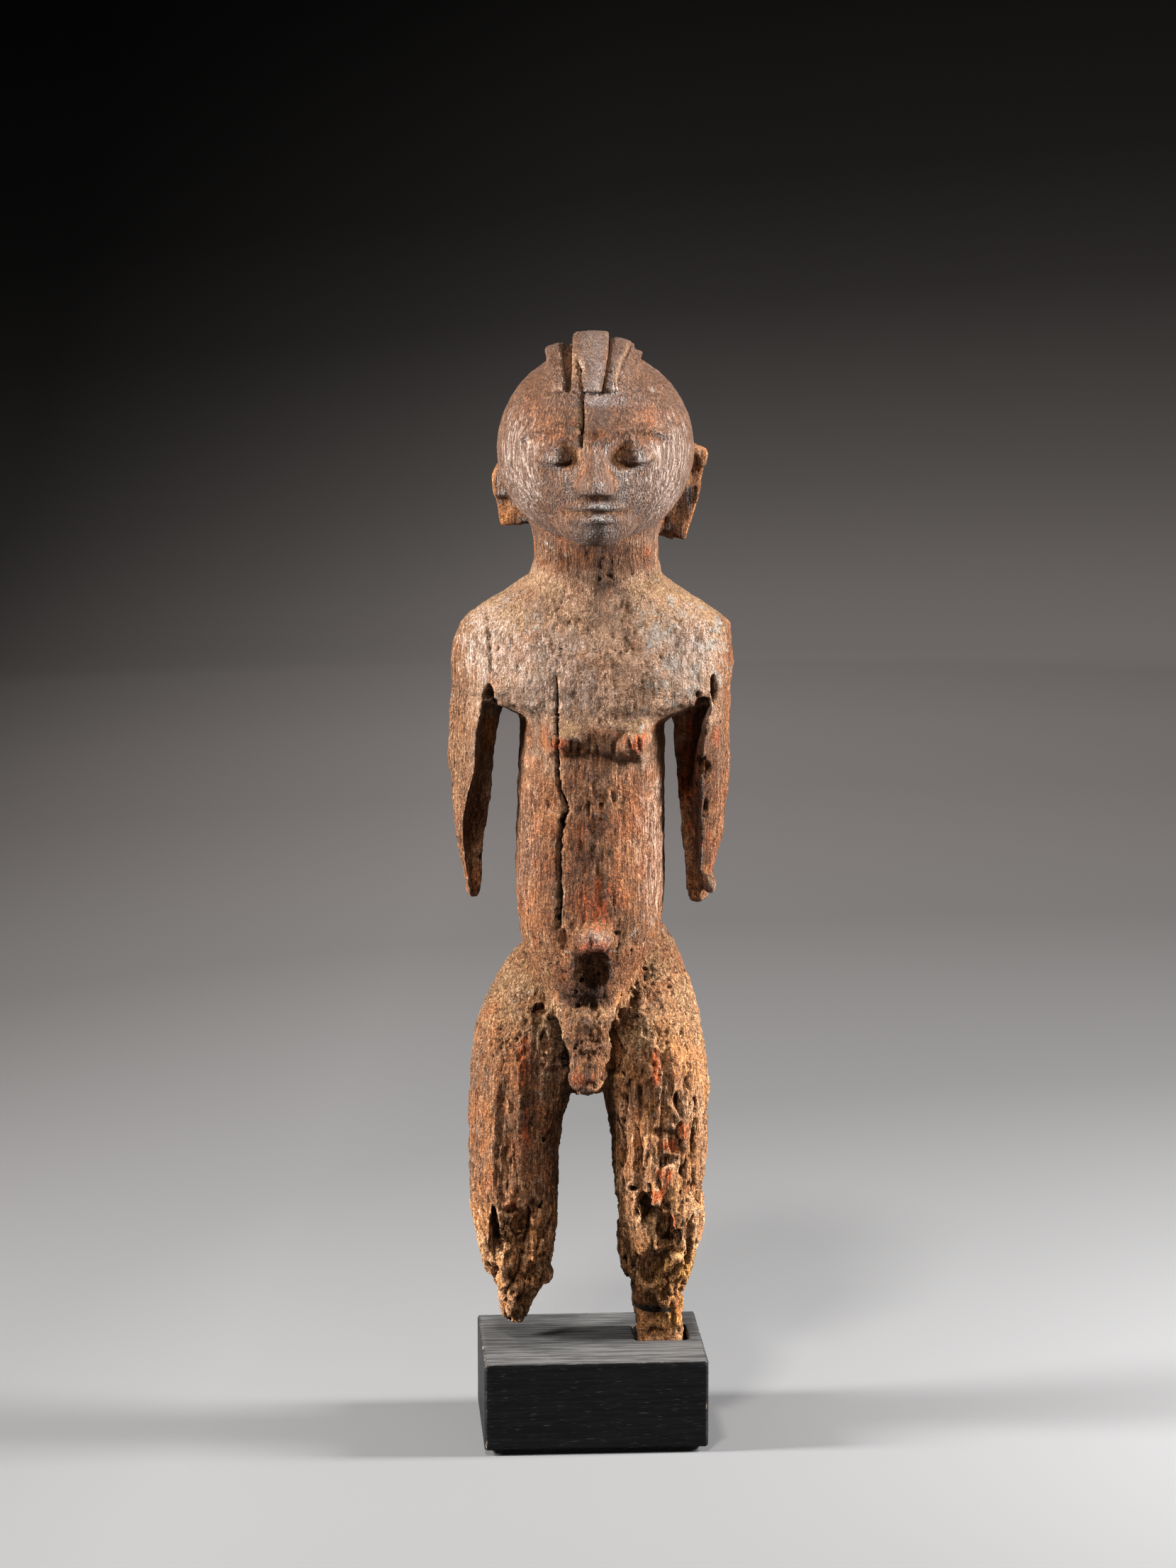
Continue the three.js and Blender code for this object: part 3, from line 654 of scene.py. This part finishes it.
# The navel: a broad knob, flat below; and the loin, narrower than its root
for rise, *patch in (
        (1.3, (0, -44, 257), (7, 14, 6.5), 0, 0.1), (1.3, (8, -44, 257), (7, 14, 6.5), 0, 0.1),
        (-1.6, (-11, -42, 256), (4, 14, 6), 0, 0.1),
        (-1.3, (3, -42, 246.5), (13, 10, 3.2), 0, 0.15),
        (1.6, (2.5, -38, 192), (9, 12, 9), 0, 0.12),
        (-1.8, (-10.5, -30, 199), (3.4, 12, 10), -14, 0.2),
        (-1.8, (15.5, -30, 199), (3.4, 12, 10), 12, 0.2),
        (-1.1, (1, -38, 205), (11, 10, 3), 8, 0.3)):
    carve += rise * hollow(form, *patch)
beside_loin = np.zeros(len(form))
for line in (
        [(-18, 215), (-14, 203.5), (-12.5, 194.8), (-9.8, 187)],
        [(12, 216), (13, 204.6), (14.6, 195), (13, 186)]):
    aside, share = along_line(form, line, 1.1, 7, 93)
    narrow = ramp(np.abs(aside), 2.6, 1.0) * between(share, 0.04, 0.96, 0.05)
    beside_loin = np.maximum(beside_loin, narrow * ramp(y, -12, -18))
carve -= 2.2 * beside_loin

# The step where the split arm leaves the chest
aside, share = along_line(form, [(-50, 424), (-47.5, 404), (-46, 386)], 0.6, 8, 97)
step_there = 1.1 * ramp(np.abs(aside), 1.6, 0.4) * between(share, 0.02, 0.98, 0.08)
carve -= step_there * ramp(y, -8, -13)

# The flat facets down the front of the left thigh, with ridges left between them
swayed = x + 1.4 * lumps(form, (30, 30, 22), 87)
left_thigh = between(z, 128, 212, 12) * front * (1 - right_leg)
for ridge_x, height in ((-46.5, 0.8), (-20.5, 0.6), (-34, 0.3)):
    carve += height * left_thigh * ramp(np.abs(swayed - ridge_x), 4.5, 0)
carve -= 0.6 * left_thigh * (between(swayed, -41, -39, 5) + between(swayed, -29, -27, 5))

# The two cracks, cut at their own width, which wanders and narrows towards the ends
cracked = np.zeros(len(form))
for line, widest, wide_from, wide_to in (
        (body_crack, 1.05, 262, 330), (head_crack, 0.6, 499, 531)):
    aside, share = along_line(form, line, 0.3, 3.5, 91)
    half = widest * (0.36 + 0.64 * between(z, wide_from, wide_to, 12))
    half *= 1 + 0.35 * lumps(form, (90, 90, 7), 95, 2)
    inside = ramp(np.abs(aside) / half, 1.15, 0.6) * between(share, 0.03, 0.97, 0.04)
    cracked = np.maximum(cracked, inside * ramp(y, -14, -22))
carve -= crack_depth * cracked

# The face: lids lowered over the eyes
face = form - head_centre
upright = math.cos(head_tilt) * face[:, 2] - math.sin(head_tilt) * face[:, 1]
for side in (-1, 1):
    beside_eye = face[:, 0] - side * eye_aside
    lid_edge = upright + 8.2 - 0.026 * beside_eye ** 2
    on_eye = between(beside_eye, -8.2, 8.2, 1.2) * on_face
    carve -= 0.75 * ramp(np.abs(lid_edge), 1.5, 0.5) * on_eye
    carve += 0.35 * ramp(np.abs(lid_edge - 1.9), 1.8, 0.4) * on_eye

# The stump was sawn across at the front, and what stands in the mortise is plain
carve *= 1 - 0.6 * sawn * ramp(z, 74, 66)
saw_line = sawn * between(z + 0.06 * (x - 30), 61.8, 63.4, 0.6)
carve -= 0.7 * saw_line
carve *= ramp(z, 47, 50) * 0.85 + 0.15
near_crack = blurred(cracked[:, None], edges, 2)
last_looseness = 0.5 * (1 - ramp(near_crack, 0, 0.1))
place_corners(figure_mesh, relaxed(form + facing * carve[:, None], edges, 1, last_looseness))

# What the material needs to know about each place: strengths from 0 to 1. The patches are given
# as strength, middle, radii, lean, raggedness and seed
# Below the navel, where the navel's shadow falls; the grime and soot marks paint that shadow in
under_navel = front * within(form, [
    (-4, 252), (8, 252.5), (13, 246.6), (12, 240), (12.6, 230.5), (12, 221.5), (-11, 221),
    (-14, 225), (-13.6, 234.7), (-10, 242.3), (-7.5, 249)], 2)
fine_relief = carve - blurred(carve[:, None], edges, 6)[:, 0]
marks = {
    "polish": (
        ramp(standing_out, 0.3, 1.6) * (1 - 0.7 * np.minimum(1, eaten)) * (1 - 0.8 * on_ear)
        * (1 - 0.9 * forehead)),
    # darker in the fine hollows of the relief: dirt, and painted shade
    "pit": ramp(-fine_relief, 0.12, 0.9),
    "crust": np.maximum(on_chest, 0.45),
    "split": split_face,
    "eaten": np.minimum(1, eaten),
    # the cracks, painted nearly black inside as painted shade
    "crack": cracked,
    "flaking": between(x, 26, 66, 10) * between(z, 376, 420, 10) * front,
    # painted shade in the notches of the chest bar and under the bar
    "shade_in_notches_and_under_bar": np.maximum(0.8 * notches, 0.45 * bar_there * ramp(z + bar_drop, 349, 345)),
    # pale grey: partly an ashy film, partly painted sheen on the cheeks, shoulders and sides
    "ash_and_painted_sheen": strongest(form, [
        (0.85, (-46, -20, 402), (22, 30, 24), 0, 0.5, 21),
        (0.7, (-20, -34, 386), (30, 26, 26), 0, 0.5, 22),
        (0.85, (46, -24, 396), (22, 26, 26), 0, 0.5, 23),
        (1, (-32, -28, 482), (15, 28, 28), 0, 0.5, 24),
        (1, (38, -28, 482), (15, 28, 28), 0, 0.5, 25),
        (0.5, (36, -24, 300), (14, 26, 60), 0, 0.5, 26),
        (0.25, (-34, -24, 310), (12, 26, 50), 0, 0.5, 27),
    ]),
    "scooped": np.minimum(1, damage / 3 + 0.6 * eaten * eaten_away),
    "handled": on_head * (1 - 0.85 * on_ear) * (1 - 0.6 * forehead) * ramp(standing_out, -1.2, 0.2),
    "ear": on_ear,
    "thigh": between(z, 128, 226, 14) * (1 - 0.5 * right_leg),
    # paler ochre down the legs, and painted light that makes the right leg paler than the left
    "low": on_legs * np.minimum(1, 0.2 + 0.45 * right_leg + 0.8 * on_shins),
    # dark brown: grime, with painted shadow under the navel and painted shade inside the right arm
    "grime_and_painted_shade": np.maximum(under_navel * (0.5 + 0.3 * ramp(z, 244, 228)), strongest(form, [
        (0.8, (2, -38, 200), (14, 30, 26), 0, 0.4, 31),
        (0.6, (6, -30, 436), (26, 34, 15), 0, 0.4, 32),
        (0.9, (52, -18, 320), (15, 26, 58), 0, 0.4, 33),
        (0.45, (-8, -40, 300), (24, 24, 46), 0, 0.5, 34),
        (0.35, (-36, -24, 312), (12, 26, 50), 0, 0.5, 36),
        (0.25, (46, -20, 232), (20, 28, 34), 0, 0.5, 38),
        (0.3, (-30, -26, 150), (12, 24, 46), 0, 0.4, 35),
        (0.35, (3, -40, 512), (34, 40, 14), 0, 0.4, 37),
    ])),
    "smeared": (
        between(z + 12 * lumps(form, (20, 20, 20), 45, 3), 346, 424, 26)
        * ramp(np.abs(x - 3), 72, 52)),
    # paler on the fine crests of the relief: the crust's colour, and painted light
    "crest": ramp(fine_relief, 0.08, 0.6) * (1 - 0.85 * on_chest),
    "sheltered": np.maximum.reduce([
        ramp(-standing_out, 0.4, 2.4),
        0.85 * ramp(facing[:, 2], 0.1, 0.6) * (1 - on_head),
        strongest(form, [
            (0.9, (-38, -22, 238), (24, 24, 20), 30, 0.4, 12),
            (0.6, (44, -20, 240), (18, 24, 26), 0, 0.4, 13),
            (0.8, (-20, -26, 212), (12, 16, 18), 0, 0.4, 14),
            (0.8, (22, -26, 210), (12, 16, 18), 0, 0.4, 15),
        ]),
    ]),
    "saw_line": saw_line,
    "pale_side": np.maximum(
        between(x + 4 * lumps(form, (9, 9, 20), 83, 2), -45, -29, 6) * between(z, 300, 358, 10),
        between(x + 4 * lumps(form, (9, 9, 20), 85, 2), 33, 44, 7) * between(z, 262, 356, 12)),
    "yellow_rot": right_leg * ramp(z, 104, 84) * ramp(x, 28, 40) * ramp(z, 50, 56),
    # near black: soot, and painted shade under the navel, beside the loin and in the groin
    "soot_and_painted_shade": np.maximum.reduce([
        under_navel * (0.25 + 0.35 * ramp(z, 242, 230)),
        0.75 * beside_loin,
        strongest(form, [
            (0.6, (-30, -30, 160), (7, 12, 30), 0, 0.4, 4),
            (0.6, (-27, -30, 190), (5, 12, 14), 0, 0.4, 5),
            (0.7, (-22, -28, 217), (7, 14, 10), 0, 0.3, 6),
            (0.6, (20, -28, 212), (8, 14, 10), 0, 0.3, 8),
            (0.4, (-14, -40, 285), (12, 12, 24), 0, 0.4, 9),
        ]),
    ]),
    # the red heartwood, bare of dirt and patina: middle, radii and lean
    "bare": strongest(form, [(1, *spot, 0.5, 7) for spot in (
        ((3, -44, 254.5), (8, 8, 4.5), 0), ((-31, -28, 193), (3.6, 9, 15), 0),
        ((-30, -28, 160), (3, 9, 12), 0), ((-37, -30, 122), (4.5, 8, 3.4), 0),
        ((33, -28, 192), (3, 9, 13), 0), ((34, -30, 127), (4.5, 8, 6), -20),
        ((41, -28, 110), (2.6, 9, 7), -20), ((40, -30, 150), (5, 9, 4), 0),
        ((47, -26, 158), (4, 9, 5), 30), ((37, -30, 137), (6, 9, 4), 0),
        ((-13, -38, 352), (6, 8, 5), 0), ((24, -36, 352), (6, 8, 5), 0),
        ((62, -18, 352), (3, 9, 9), 0), ((59, -16, 296), (4, 9, 10), 0),
        ((13, -38, 229), (4, 8, 8), 0), ((29, -18, 440), (2, 9, 8), 0),
        ((3, -46, 276), (13, 12, 14), 0), ((-53, -14, 281), (3, 9, 8), 0),
        ((-2, -34, 187), (6, 9, 4), 0), ((46, -14, 62), (4, 30, 9), 0),
        ((50, -4, 335), (8, 20, 40), 0))]),
}

# The mesh is thinned, and each corner that's left takes the marks of the nearest one before
rough_corners = corners_of(figure_mesh)
finder = kdtree.KDTree(len(rough_corners))
for number, corner in enumerate(rough_corners):
    finder.insert(corner, number)
finder.balance()
place_corners(figure_mesh, out_of_figure(rough_corners))

figure_piece = set_up("carved_figure", figure_mesh)
thinning = figure_piece.modifiers.new("thinning", "DECIMATE")
thinning.use_collapse_triangulate = True
dense_triangles = sum(len(face.vertices) - 2 for face in figure_mesh.polygons)
thinning.ratio = finished_triangles / dense_triangles
finished = as_modified(figure_piece)
figure_piece.modifiers.clear()
figure_piece.data = finished
finished.shade_smooth()
nearest = np.array([finder.find(corner)[1] for corner in into_figure(corners_of(finished))])
leave_marks(finished, {name: values[nearest] for name, values in marks.items()})
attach(figure_piece, "root")
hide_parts("figure")


def paint(red, green, blue):
    """A colour as read off a colour card, from 0 to 255, as the light it throws back."""
    return (*[((part / 255 + 0.055) / 1.055) ** 2.4 for part in (red, green, blue)], 1.0)


def times(tree, *values):
    return reckoned(tree, "MULTIPLY", *values)


def topped(tree, value, factor, more):
    """The value times the factor, plus more."""
    return reckoned(tree, "MULTIPLY_ADD", value, factor, more)


def swung(tree, value, where, least, most):
    """The value times least where a mark is 0, and times most where it is 1."""
    return times(tree, value, risen(tree, where, 0, 1, least, most))


def blended(tree, share, under, over, kind="MIX"):
    step = tree.nodes.new("ShaderNodeMix")
    step.data_type = "RGBA"
    step.blend_type = kind
    for number, value in ((0, share), (6, under), (7, over)):
        linked(tree, step.inputs[number], value)
    return step.outputs[2]


def coated(tree, colour, coats):
    """A colour under coats given as share, strength and their own colour, the last on top."""
    for share, strength, over in coats:
        over = paint(*over) if isinstance(over, tuple) else over
        colour = blended(tree, times(tree, share, strength), colour, over)
    return colour


def cloudy(tree, where, size, detail=2.0, roughness=0.5, distortion=0.0, along=1):
    """Noise whose lumps are about size of the units of where across, and longer upward where
    along is below 1."""
    if along != 1:
        where = vectors(tree, "MULTIPLY", where, (1, 1, along))
    step = tree.nodes.new("ShaderNodeTexNoise")
    named = {"Vector": where, "Scale": 1 / size, "Detail": detail, "Roughness": roughness,
             "Distortion": distortion}
    for name, value in named.items():
        linked(tree, step.inputs[name], value)
    return step.outputs["Fac"]


def webbed(tree, where, size, width, detail=2.0, roughness=0.5, distortion=0.0):
    """A web of crest lines: 1 along them, falling to 0 where the noise is width away from them."""
    noise = cloudy(tree, where, size, detail, roughness, distortion)
    away = reckoned(tree, "ABSOLUTE", reckoned(tree, "SUBTRACT", noise, 0.5))
    return risen(tree, away, 0, width, 1, 0)


def millimetres(tree):
    """Places on the piece in millimetres."""
    places = tree.nodes.new("ShaderNodeTexCoord").outputs["Object"]
    return vectors(tree, "MULTIPLY", places, (1000, 1000, 1000))


def mark(tree, name):
    """A value that the carving left at each place of the mesh."""
    step = tree.nodes.new("ShaderNodeAttribute")
    step.attribute_name = name
    return step.outputs["Fac"]


def broken_up(tree, name, pattern, low, high, least, most):
    """A value left by the carving, broken up by a pattern."""
    return times(tree, mark(tree, name), risen(tree, pattern, low, high, least, most))


def embossed(tree, relief, depth):
    """Lets a relief of depth metres show in the light on the surface."""
    bump = tree.nodes.new("ShaderNodeBump")
    bump.inputs["Distance"].default_value = depth
    linked(tree, bump.inputs["Height"], relief)
    linked(tree, tree.nodes["Principled BSDF"].inputs["Normal"], bump.outputs[0])


def pattern_group(name, *patterns):
    """An empty node group that takes a place and puts out the values of patterns there."""
    tree = bpy.data.node_groups.new(name, "ShaderNodeTree")
    tree.interface.new_socket("Place", in_out="INPUT", socket_type="NodeSocketVector")
    for pattern in patterns:
        tree.interface.new_socket(pattern, in_out="OUTPUT", socket_type="NodeSocketFloat")
    place = tree.nodes.new("NodeGroupInput").outputs["Place"]
    return tree, place, tree.nodes.new("NodeGroupOutput").inputs


def applied(tree, group, place):
    step = tree.nodes.new("ShaderNodeGroup")
    step.node_tree = group
    linked(tree, step.inputs["Place"], place)
    return step.outputs


# Open wood grain: long threads side by side, sharp-edged gaps between some, and short pores.
# Places come in with the grain along Z and millimetres squeezed along it.
tree, place, given = pattern_group("open_grain", "Threads", "Gaps", "Pores")
bending = cloudy(tree, place, 9, 1)
bent = vectors(tree, "MULTIPLY_ADD", bending, (2.6, 2.6, 0), place)
threads = cloudy(tree, bent, 1.1, 3, 0.6)
linked(tree, given["Threads"], risen(tree, threads, 0.38, 0.62))
linked(tree, given["Gaps"], webbed(tree, bent, 2.6, 0.025, 2))
pores = cloudy(tree, place, 0.75, 1, along=2.5)
linked(tree, given["Pores"], risen(tree, pores, 0.6, 0.72))
open_grain = tree

# Dry crust: a tangle of crests and specks of settled earth
tree, place, given = pattern_group("dry_crust", "Crests", "Specks", "Patches")
linked(tree, given["Crests"], webbed(tree, place, 2.3, 0.075, 3, 0.6, 0.8))
specks = cloudy(tree, place, 0.8, 3, 0.6)
linked(tree, given["Specks"], risen(tree, specks, 0.44, 0.6))
patches = cloudy(tree, place, 13, 4, 0.55)
linked(tree, given["Patches"], risen(tree, patches, 0.36, 0.64))
dry_crust = tree

weathered, tree, shader = new_material("weathered_wood")
place = millimetres(tree)
grain = applied(tree, open_grain, vectors(tree, "MULTIPLY", place, (1, 1, 0.075)))
crusted = applied(tree, dry_crust, place)
threads = grain["Threads"]
broad = risen(tree, cloudy(tree, place, 26, 3, along=0.6), 0.38, 0.62)
drift = risen(tree, cloudy(tree, place, 9, 3, 0.6, along=0.35), 0.36, 0.64)
handled = mark(tree, "handled")
low = mark(tree, "low")
smeared = mark(tree, "smeared")
split = mark(tree, "split")

# The patterns that the coats below follow: red fibres, settled earth and its specks, an ashy
# film, pits darkened by dirt and painted shade, hollows that hold dirt, rubbed crests, flakes, and
# notches and open gaps darkened with painted shade
rusty = times(tree, risen(tree, threads, 0.35, 0.75),
              risen(tree, cloudy(tree, place, 7, 3, along=0.4), 0.5, 0.66))
rusty = swung(tree, rusty, handled, 0.55, 0.12)
earthy = topped(tree, crusted["Patches"], 0.6, mark(tree, "crust"))
earthy = swung(tree, risen(tree, earthy, 0.5, 1.5, 0, 0.85), handled, 1, 0.3)
earthy = swung(tree, earthy, low, 1, 0.5)
dust = blended(tree, smeared, paint(134, 98, 72), paint(152, 122, 100))
specks = swung(tree, earthy, crusted["Specks"], 0, 0.42)
speck_dust = blended(tree, smeared, paint(182, 144, 108), paint(216, 186, 160))
film = cloudy(tree, place, 15, 6, 0.62, 0.5, along=0.7)
filmed = reckoned(tree, "ADD", smeared, mark(tree, "thigh"))
film = swung(tree, risen(tree, film, 0.5, 0.58, 0, 0.55), filmed, 0.2, 1)
pitted = risen(tree, topped(tree, crusted["Specks"], -0.45, mark(tree, "pit")), 0.1, 0.42)
settled = broken_up(tree, "sheltered", crusted["Patches"], 0, 1, 0.25, 0.8)
rubbed = broken_up(tree, "polish", crusted["Patches"], 0.2, 0.9, 1, 0.5)
islands = cloudy(tree, place, 8, 4, 0.55, 0.6)
flakes = risen(tree, topped(tree, mark(tree, "flaking"), 0.1, islands), 0.675, 0.69)
# painted shade in the notches and under the chest bar
notch_shade = topped(tree, threads, -0.4, mark(tree, "shade_in_notches_and_under_bar"))
furrowed = reckoned(tree, "ADD", split, mark(tree, "eaten"))
# the open gaps of the grain, darkened with painted shade
gaps_open = swung(tree, grain["Gaps"], furrowed, 0.3, 0.85)
dug = topped(tree, crusted["Specks"], -0.3, mark(tree, "scooped"))

# From the wood itself outward: bare colour, patina, rust-red fibres, crust, dust, painted light
# and sheen, soot and grime with painted shade, holes, and painted shade in notches, gaps and cracks
wood = coated(tree, blended(tree, broad, paint(114, 75, 46), paint(149, 97, 60)), [
    # paler legs, with painted light on the right leg
    (low, 0.85, (176, 128, 84)),
    (handled, 0.85, (106, 72, 44)),
    (mark(tree, "ear"), 0.85, (188, 130, 80)),
    (swung(tree, drift, smeared, 0.25, 0.5), 1, (124, 102, 88)),
    (rusty, 1, (160, 90, 52)),
    (broken_up(tree, "pale_side", threads, 0.1, 0.8, 0.25, 0.75), 1, (166, 112, 70)),
    (broken_up(tree, "split", threads, 0.1, 0.8, 0.5, 0.95), 1, (130, 98, 72)),
    (earthy, 1, dust),
    (specks, 1, speck_dust),
    (film, 1, (112, 92, 78)),
    # pale grey ash, and painted sheen where the side lights catch
    (broken_up(tree, "ash_and_painted_sheen", threads, 0.1, 0.9, 0.25, 0.95), 0.8, (176, 162, 155)),
    # dark in the fine hollows: dirt, and painted shade
    (pitted, 0.7, (78, 46, 24)),
    (swung(tree, settled, handled, 1, 0.3), 1, (146, 118, 86)),
    # pale fine crests: the crust's colour, and painted light
    (broken_up(tree, "crest", drift, 0, 1, 0.1, 0.55), 1, (200, 166, 134)),
    (rubbed, 0.4, (128, 100, 82)),
    (broken_up(tree, "bare", threads, 0.1, 0.6, 0.2, 0.9), 1, (172, 86, 44)),
    (broken_up(tree, "yellow_rot", drift, 0.1, 0.8, 0.25, 0.9), 1, (164, 120, 64)),
    (flakes, 0.75, (150, 142, 134)),
    # dark brown grime, and painted shade
    (broken_up(tree, "grime_and_painted_shade", drift, 0, 1, 0.65, 1), 1, (84, 51, 28)),
    # near-black soot, and painted shade
    (broken_up(tree, "soot_and_painted_shade", drift, 0, 1, 0.45, 0.95), 1, (62, 44, 34)),
    # painted shade in the notches and under the bar
    (risen(tree, notch_shade, 0, 0.6), 0.75, (84, 50, 34)),
    # painted shade in the open gaps
    (gaps_open, 0.8, (66, 38, 20)),
    (grain["Pores"], 0.5, (54, 34, 22)),
    (risen(tree, dug, 0.3, 0.6), 0.35, (92, 56, 30)),
    (mark(tree, "saw_line"), 1, (98, 92, 86)),
    # painted shade deep in the cracks
    (risen(tree, mark(tree, "crack"), 0.35, 0.75), 1, (16, 10, 7)),
])

# Painted fine light and shade: the web of the crust, the threads and peppery spots stand partly
# for the wood's own tones and partly for the small shadows and lit edges of the relief, and all
# are calmer where hands or dust have smoothed the wood
web_there = risen(tree, cloudy(tree, place, 9, 3, 0.5), 0.4, 0.6, 0.25, 1)
web_shade = risen(tree, crusted["Crests"], 0, 1, 0.6, 1.22)
plain_shade = 0.9
shade = reckoned(tree, "SUBTRACT", web_shade, plain_shade)
shade = topped(tree, shade, web_there, plain_shade)
shade = swung(tree, shade, handled, 1, 0.72)
grainy = risen(tree, cloudy(tree, place, 1.2, 4, 0.75), 0.4, 0.6, 0.7, 1.28)
grained = times(tree, grainy, risen(tree, threads, 0.1, 0.9, 0.68, 1.14))
grained = swung(tree, grained, low, 1, 1.6)
to_even = reckoned(tree, "SUBTRACT", 1, grained)
grained = topped(tree, to_even, risen(tree, smeared, 0, 1, 0, 0.6), grained)
shade = times(tree, shade, grained)
peppered = risen(tree, cloudy(tree, place, 1.9, 4, 0.6, along=0.55), 0.57, 0.61)
peppered = swung(tree, peppered, handled, 1, 0.5)
peppered = swung(tree, peppered, smeared, 0.85, 0.5)
shade = swung(tree, shade, peppered, 1.05, 0.5)
# The painted shade turns warmer where it is darkest, as shade lit by the wood around it
warm_shadow = (1.0, 0.82, 0.64, 1)
wood = blended(tree, risen(tree, shade, 0.3, 1.1, 1, 0), wood, warm_shadow, "MULTIPLY")
wood = blended(tree, 1.0, wood, shade, "MULTIPLY")
linked(tree, shader["Base Color"], wood)
glossy = reckoned(tree, "MAXIMUM", times(tree, rubbed, 0.65), times(tree, handled, 0.7))
glossy = swung(tree, glossy, pitted, 1, 0.2)
glossy = times(tree, glossy, risen(tree, settled, 0, 0.8, 1, 0))
linked(tree, shader["Roughness"], risen(tree, glossy, 0.1, 0.7, 0.8, 0.44))
linked(tree, shader["Specular IOR Level"], risen(tree, glossy, 0, 0.7, 0.22, 0.55))

relief = times(tree, crusted["Crests"], web_there)
relief = topped(tree, grainy, 0.9, times(tree, relief, 0.7))
relief = swung(tree, relief, handled, 1, 0.38)
relief = reckoned(tree, "ADD", swung(tree, threads, smeared, 0.6, 0.3), relief)
for feature, height in (
        (crusted["Specks"], 0.35), (gaps_open, -1.2), (grain["Pores"], -0.4), (pitted, -0.5),
        (flakes, 0.35), (peppered, -0.6)):
    relief = topped(tree, feature, height, relief)
embossed(tree, relief, 0.001)
figure_piece.data.materials.append(weathered)


# The block: a solid piece of open-pored hardwood, stained black and rubbed down by hand, with
# a square hole in its top for the stump. Its edges are eased, and worn pale in places.
block_pitch = 0.0011
stain_grain_turn = math.radians(91.2)

block_mesh, block_edges, block_form = smoothed_piece(
    "block", block_pitch, rounds=3, looseness=0.4)
block_facing = smooth_facing(block_mesh, block_edges, 3)
block_wide = blurred(block_form, block_edges, 10)
edge_height = np.einsum("ij,ij->i", block_form - block_wide, block_facing)
on_edge = ramp(edge_height, 0.22, 0.5)
waver = lumps(block_form, (16, 16, 16), 201, 3)
nicks = on_edge * ramp(lumps(block_form, (5, 5, 5), 203, 2), 0.3, 0.6)
block_carve = 0.05 * waver - 0.08 * on_edge * ramp(waver, 0.1, 0.6) - 0.16 * nicks
place_corners(block_mesh, (block_form + block_facing * block_carve[:, None]) / 1000)
block_piece = set_up("black_block", block_mesh)
leave_marks(block_mesh, {
    "edge_wear": on_edge * (0.25 + 0.75 * ramp(waver, -0.05, 0.35)) * (0.5 + 0.5 * nicks),
    # the top, paler for its dust and for a painted sheen
    "dust_and_painted_sheen_on_top": ramp(block_facing[:, 2], 0.6, 0.95),
})
block_mesh.shade_smooth()
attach(block_piece, "root")
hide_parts("block")

blackened, tree, shader = new_material("black_stained_wood")
place = millimetres(tree)
turning = tree.nodes.new("ShaderNodeVectorRotate")
turning.rotation_type = "Y_AXIS"
turning.inputs["Angle"].default_value = stain_grain_turn
linked(tree, turning.inputs["Vector"], place)
turned = turning.outputs[0]
grain = applied(tree, open_grain, vectors(tree, "MULTIPLY", turned, (0.8, 0.8, 0.035)))
crusted = applied(tree, dry_crust, place)
dashes = cloudy(tree, vectors(tree, "MULTIPLY", turned, (2.2, 2.2, 0.13)), 0.9, 2, 0.5)
worn_edge = topped(tree, crusted["Specks"], 0.4, mark(tree, "edge_wear"))
stain = coated(tree, blended(tree, grain["Threads"], paint(10, 10, 11), paint(19, 18, 19)), [
    (risen(tree, dashes, 0.63, 0.74, 0, 0.65), 1, (86, 84, 82)),
    # paler top: dust, and painted sheen
    (broken_up(tree, "dust_and_painted_sheen_on_top", grain["Threads"], 0, 1, 0.5, 1), 0.75, (82, 81, 80)),
    (risen(tree, worn_edge, 0.7, 1.1), 0.7, (112, 100, 88)),
])
linked(tree, shader["Base Color"], stain)
linked(tree, shader["Roughness"], risen(tree, grain["Threads"], 0, 1, 0.46, 0.58))
shader["Specular IOR Level"].default_value = 0.22
embossed(tree, topped(tree, grain["Gaps"], -1.5, grain["Threads"]), 0.00002)
block_piece.data.materials.append(blackened)


# The foot pad: a sheet of dark wool felt glued under the block, cut a little short of its
# edges, with the fibres standing out along the cut.
pad_pitch = 0.0009

pad_mesh, _, pad_form = smoothed_piece("foot_pad", pad_pitch, rounds=2, looseness=0.4)
matted = 0.12 * (lumps(pad_form, (1.8, 1.8, 1.8), 301, 2) - 0.8)
place_corners(pad_mesh, (pad_form + outward(pad_mesh) * matted[:, None]) / 1000)
pad_piece = set_up("felt_pad", pad_mesh)
pad_mesh.shade_smooth()
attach(pad_piece, "root")
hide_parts("foot_pad")

felt, tree, shader = new_material("dark_felt_wool")
place = millimetres(tree)
hairs = webbed(tree, vectors(tree, "MULTIPLY", place, (1, 0.35, 1)), 0.9, 0.08, 3, 0.6, 1.2)
tufts = cloudy(tree, place, 2.2, 3, 0.6)
wool = blended(tree, risen(tree, hairs, 0.2, 0.8), paint(16, 15, 17), paint(44, 42, 44))
wool = blended(tree, risen(tree, tufts, 0.45, 0.7, 0, 0.5), wool, paint(30, 28, 30))
linked(tree, shader["Base Color"], wool)
shader["Roughness"].default_value = 0.95
shader["Sheen Weight"].default_value = 0.25
shader["Sheen Roughness"].default_value = 0.5
embossed(tree, topped(tree, hairs, 0.6, tufts), 0.0003)
pad_piece.data.materials.append(felt)
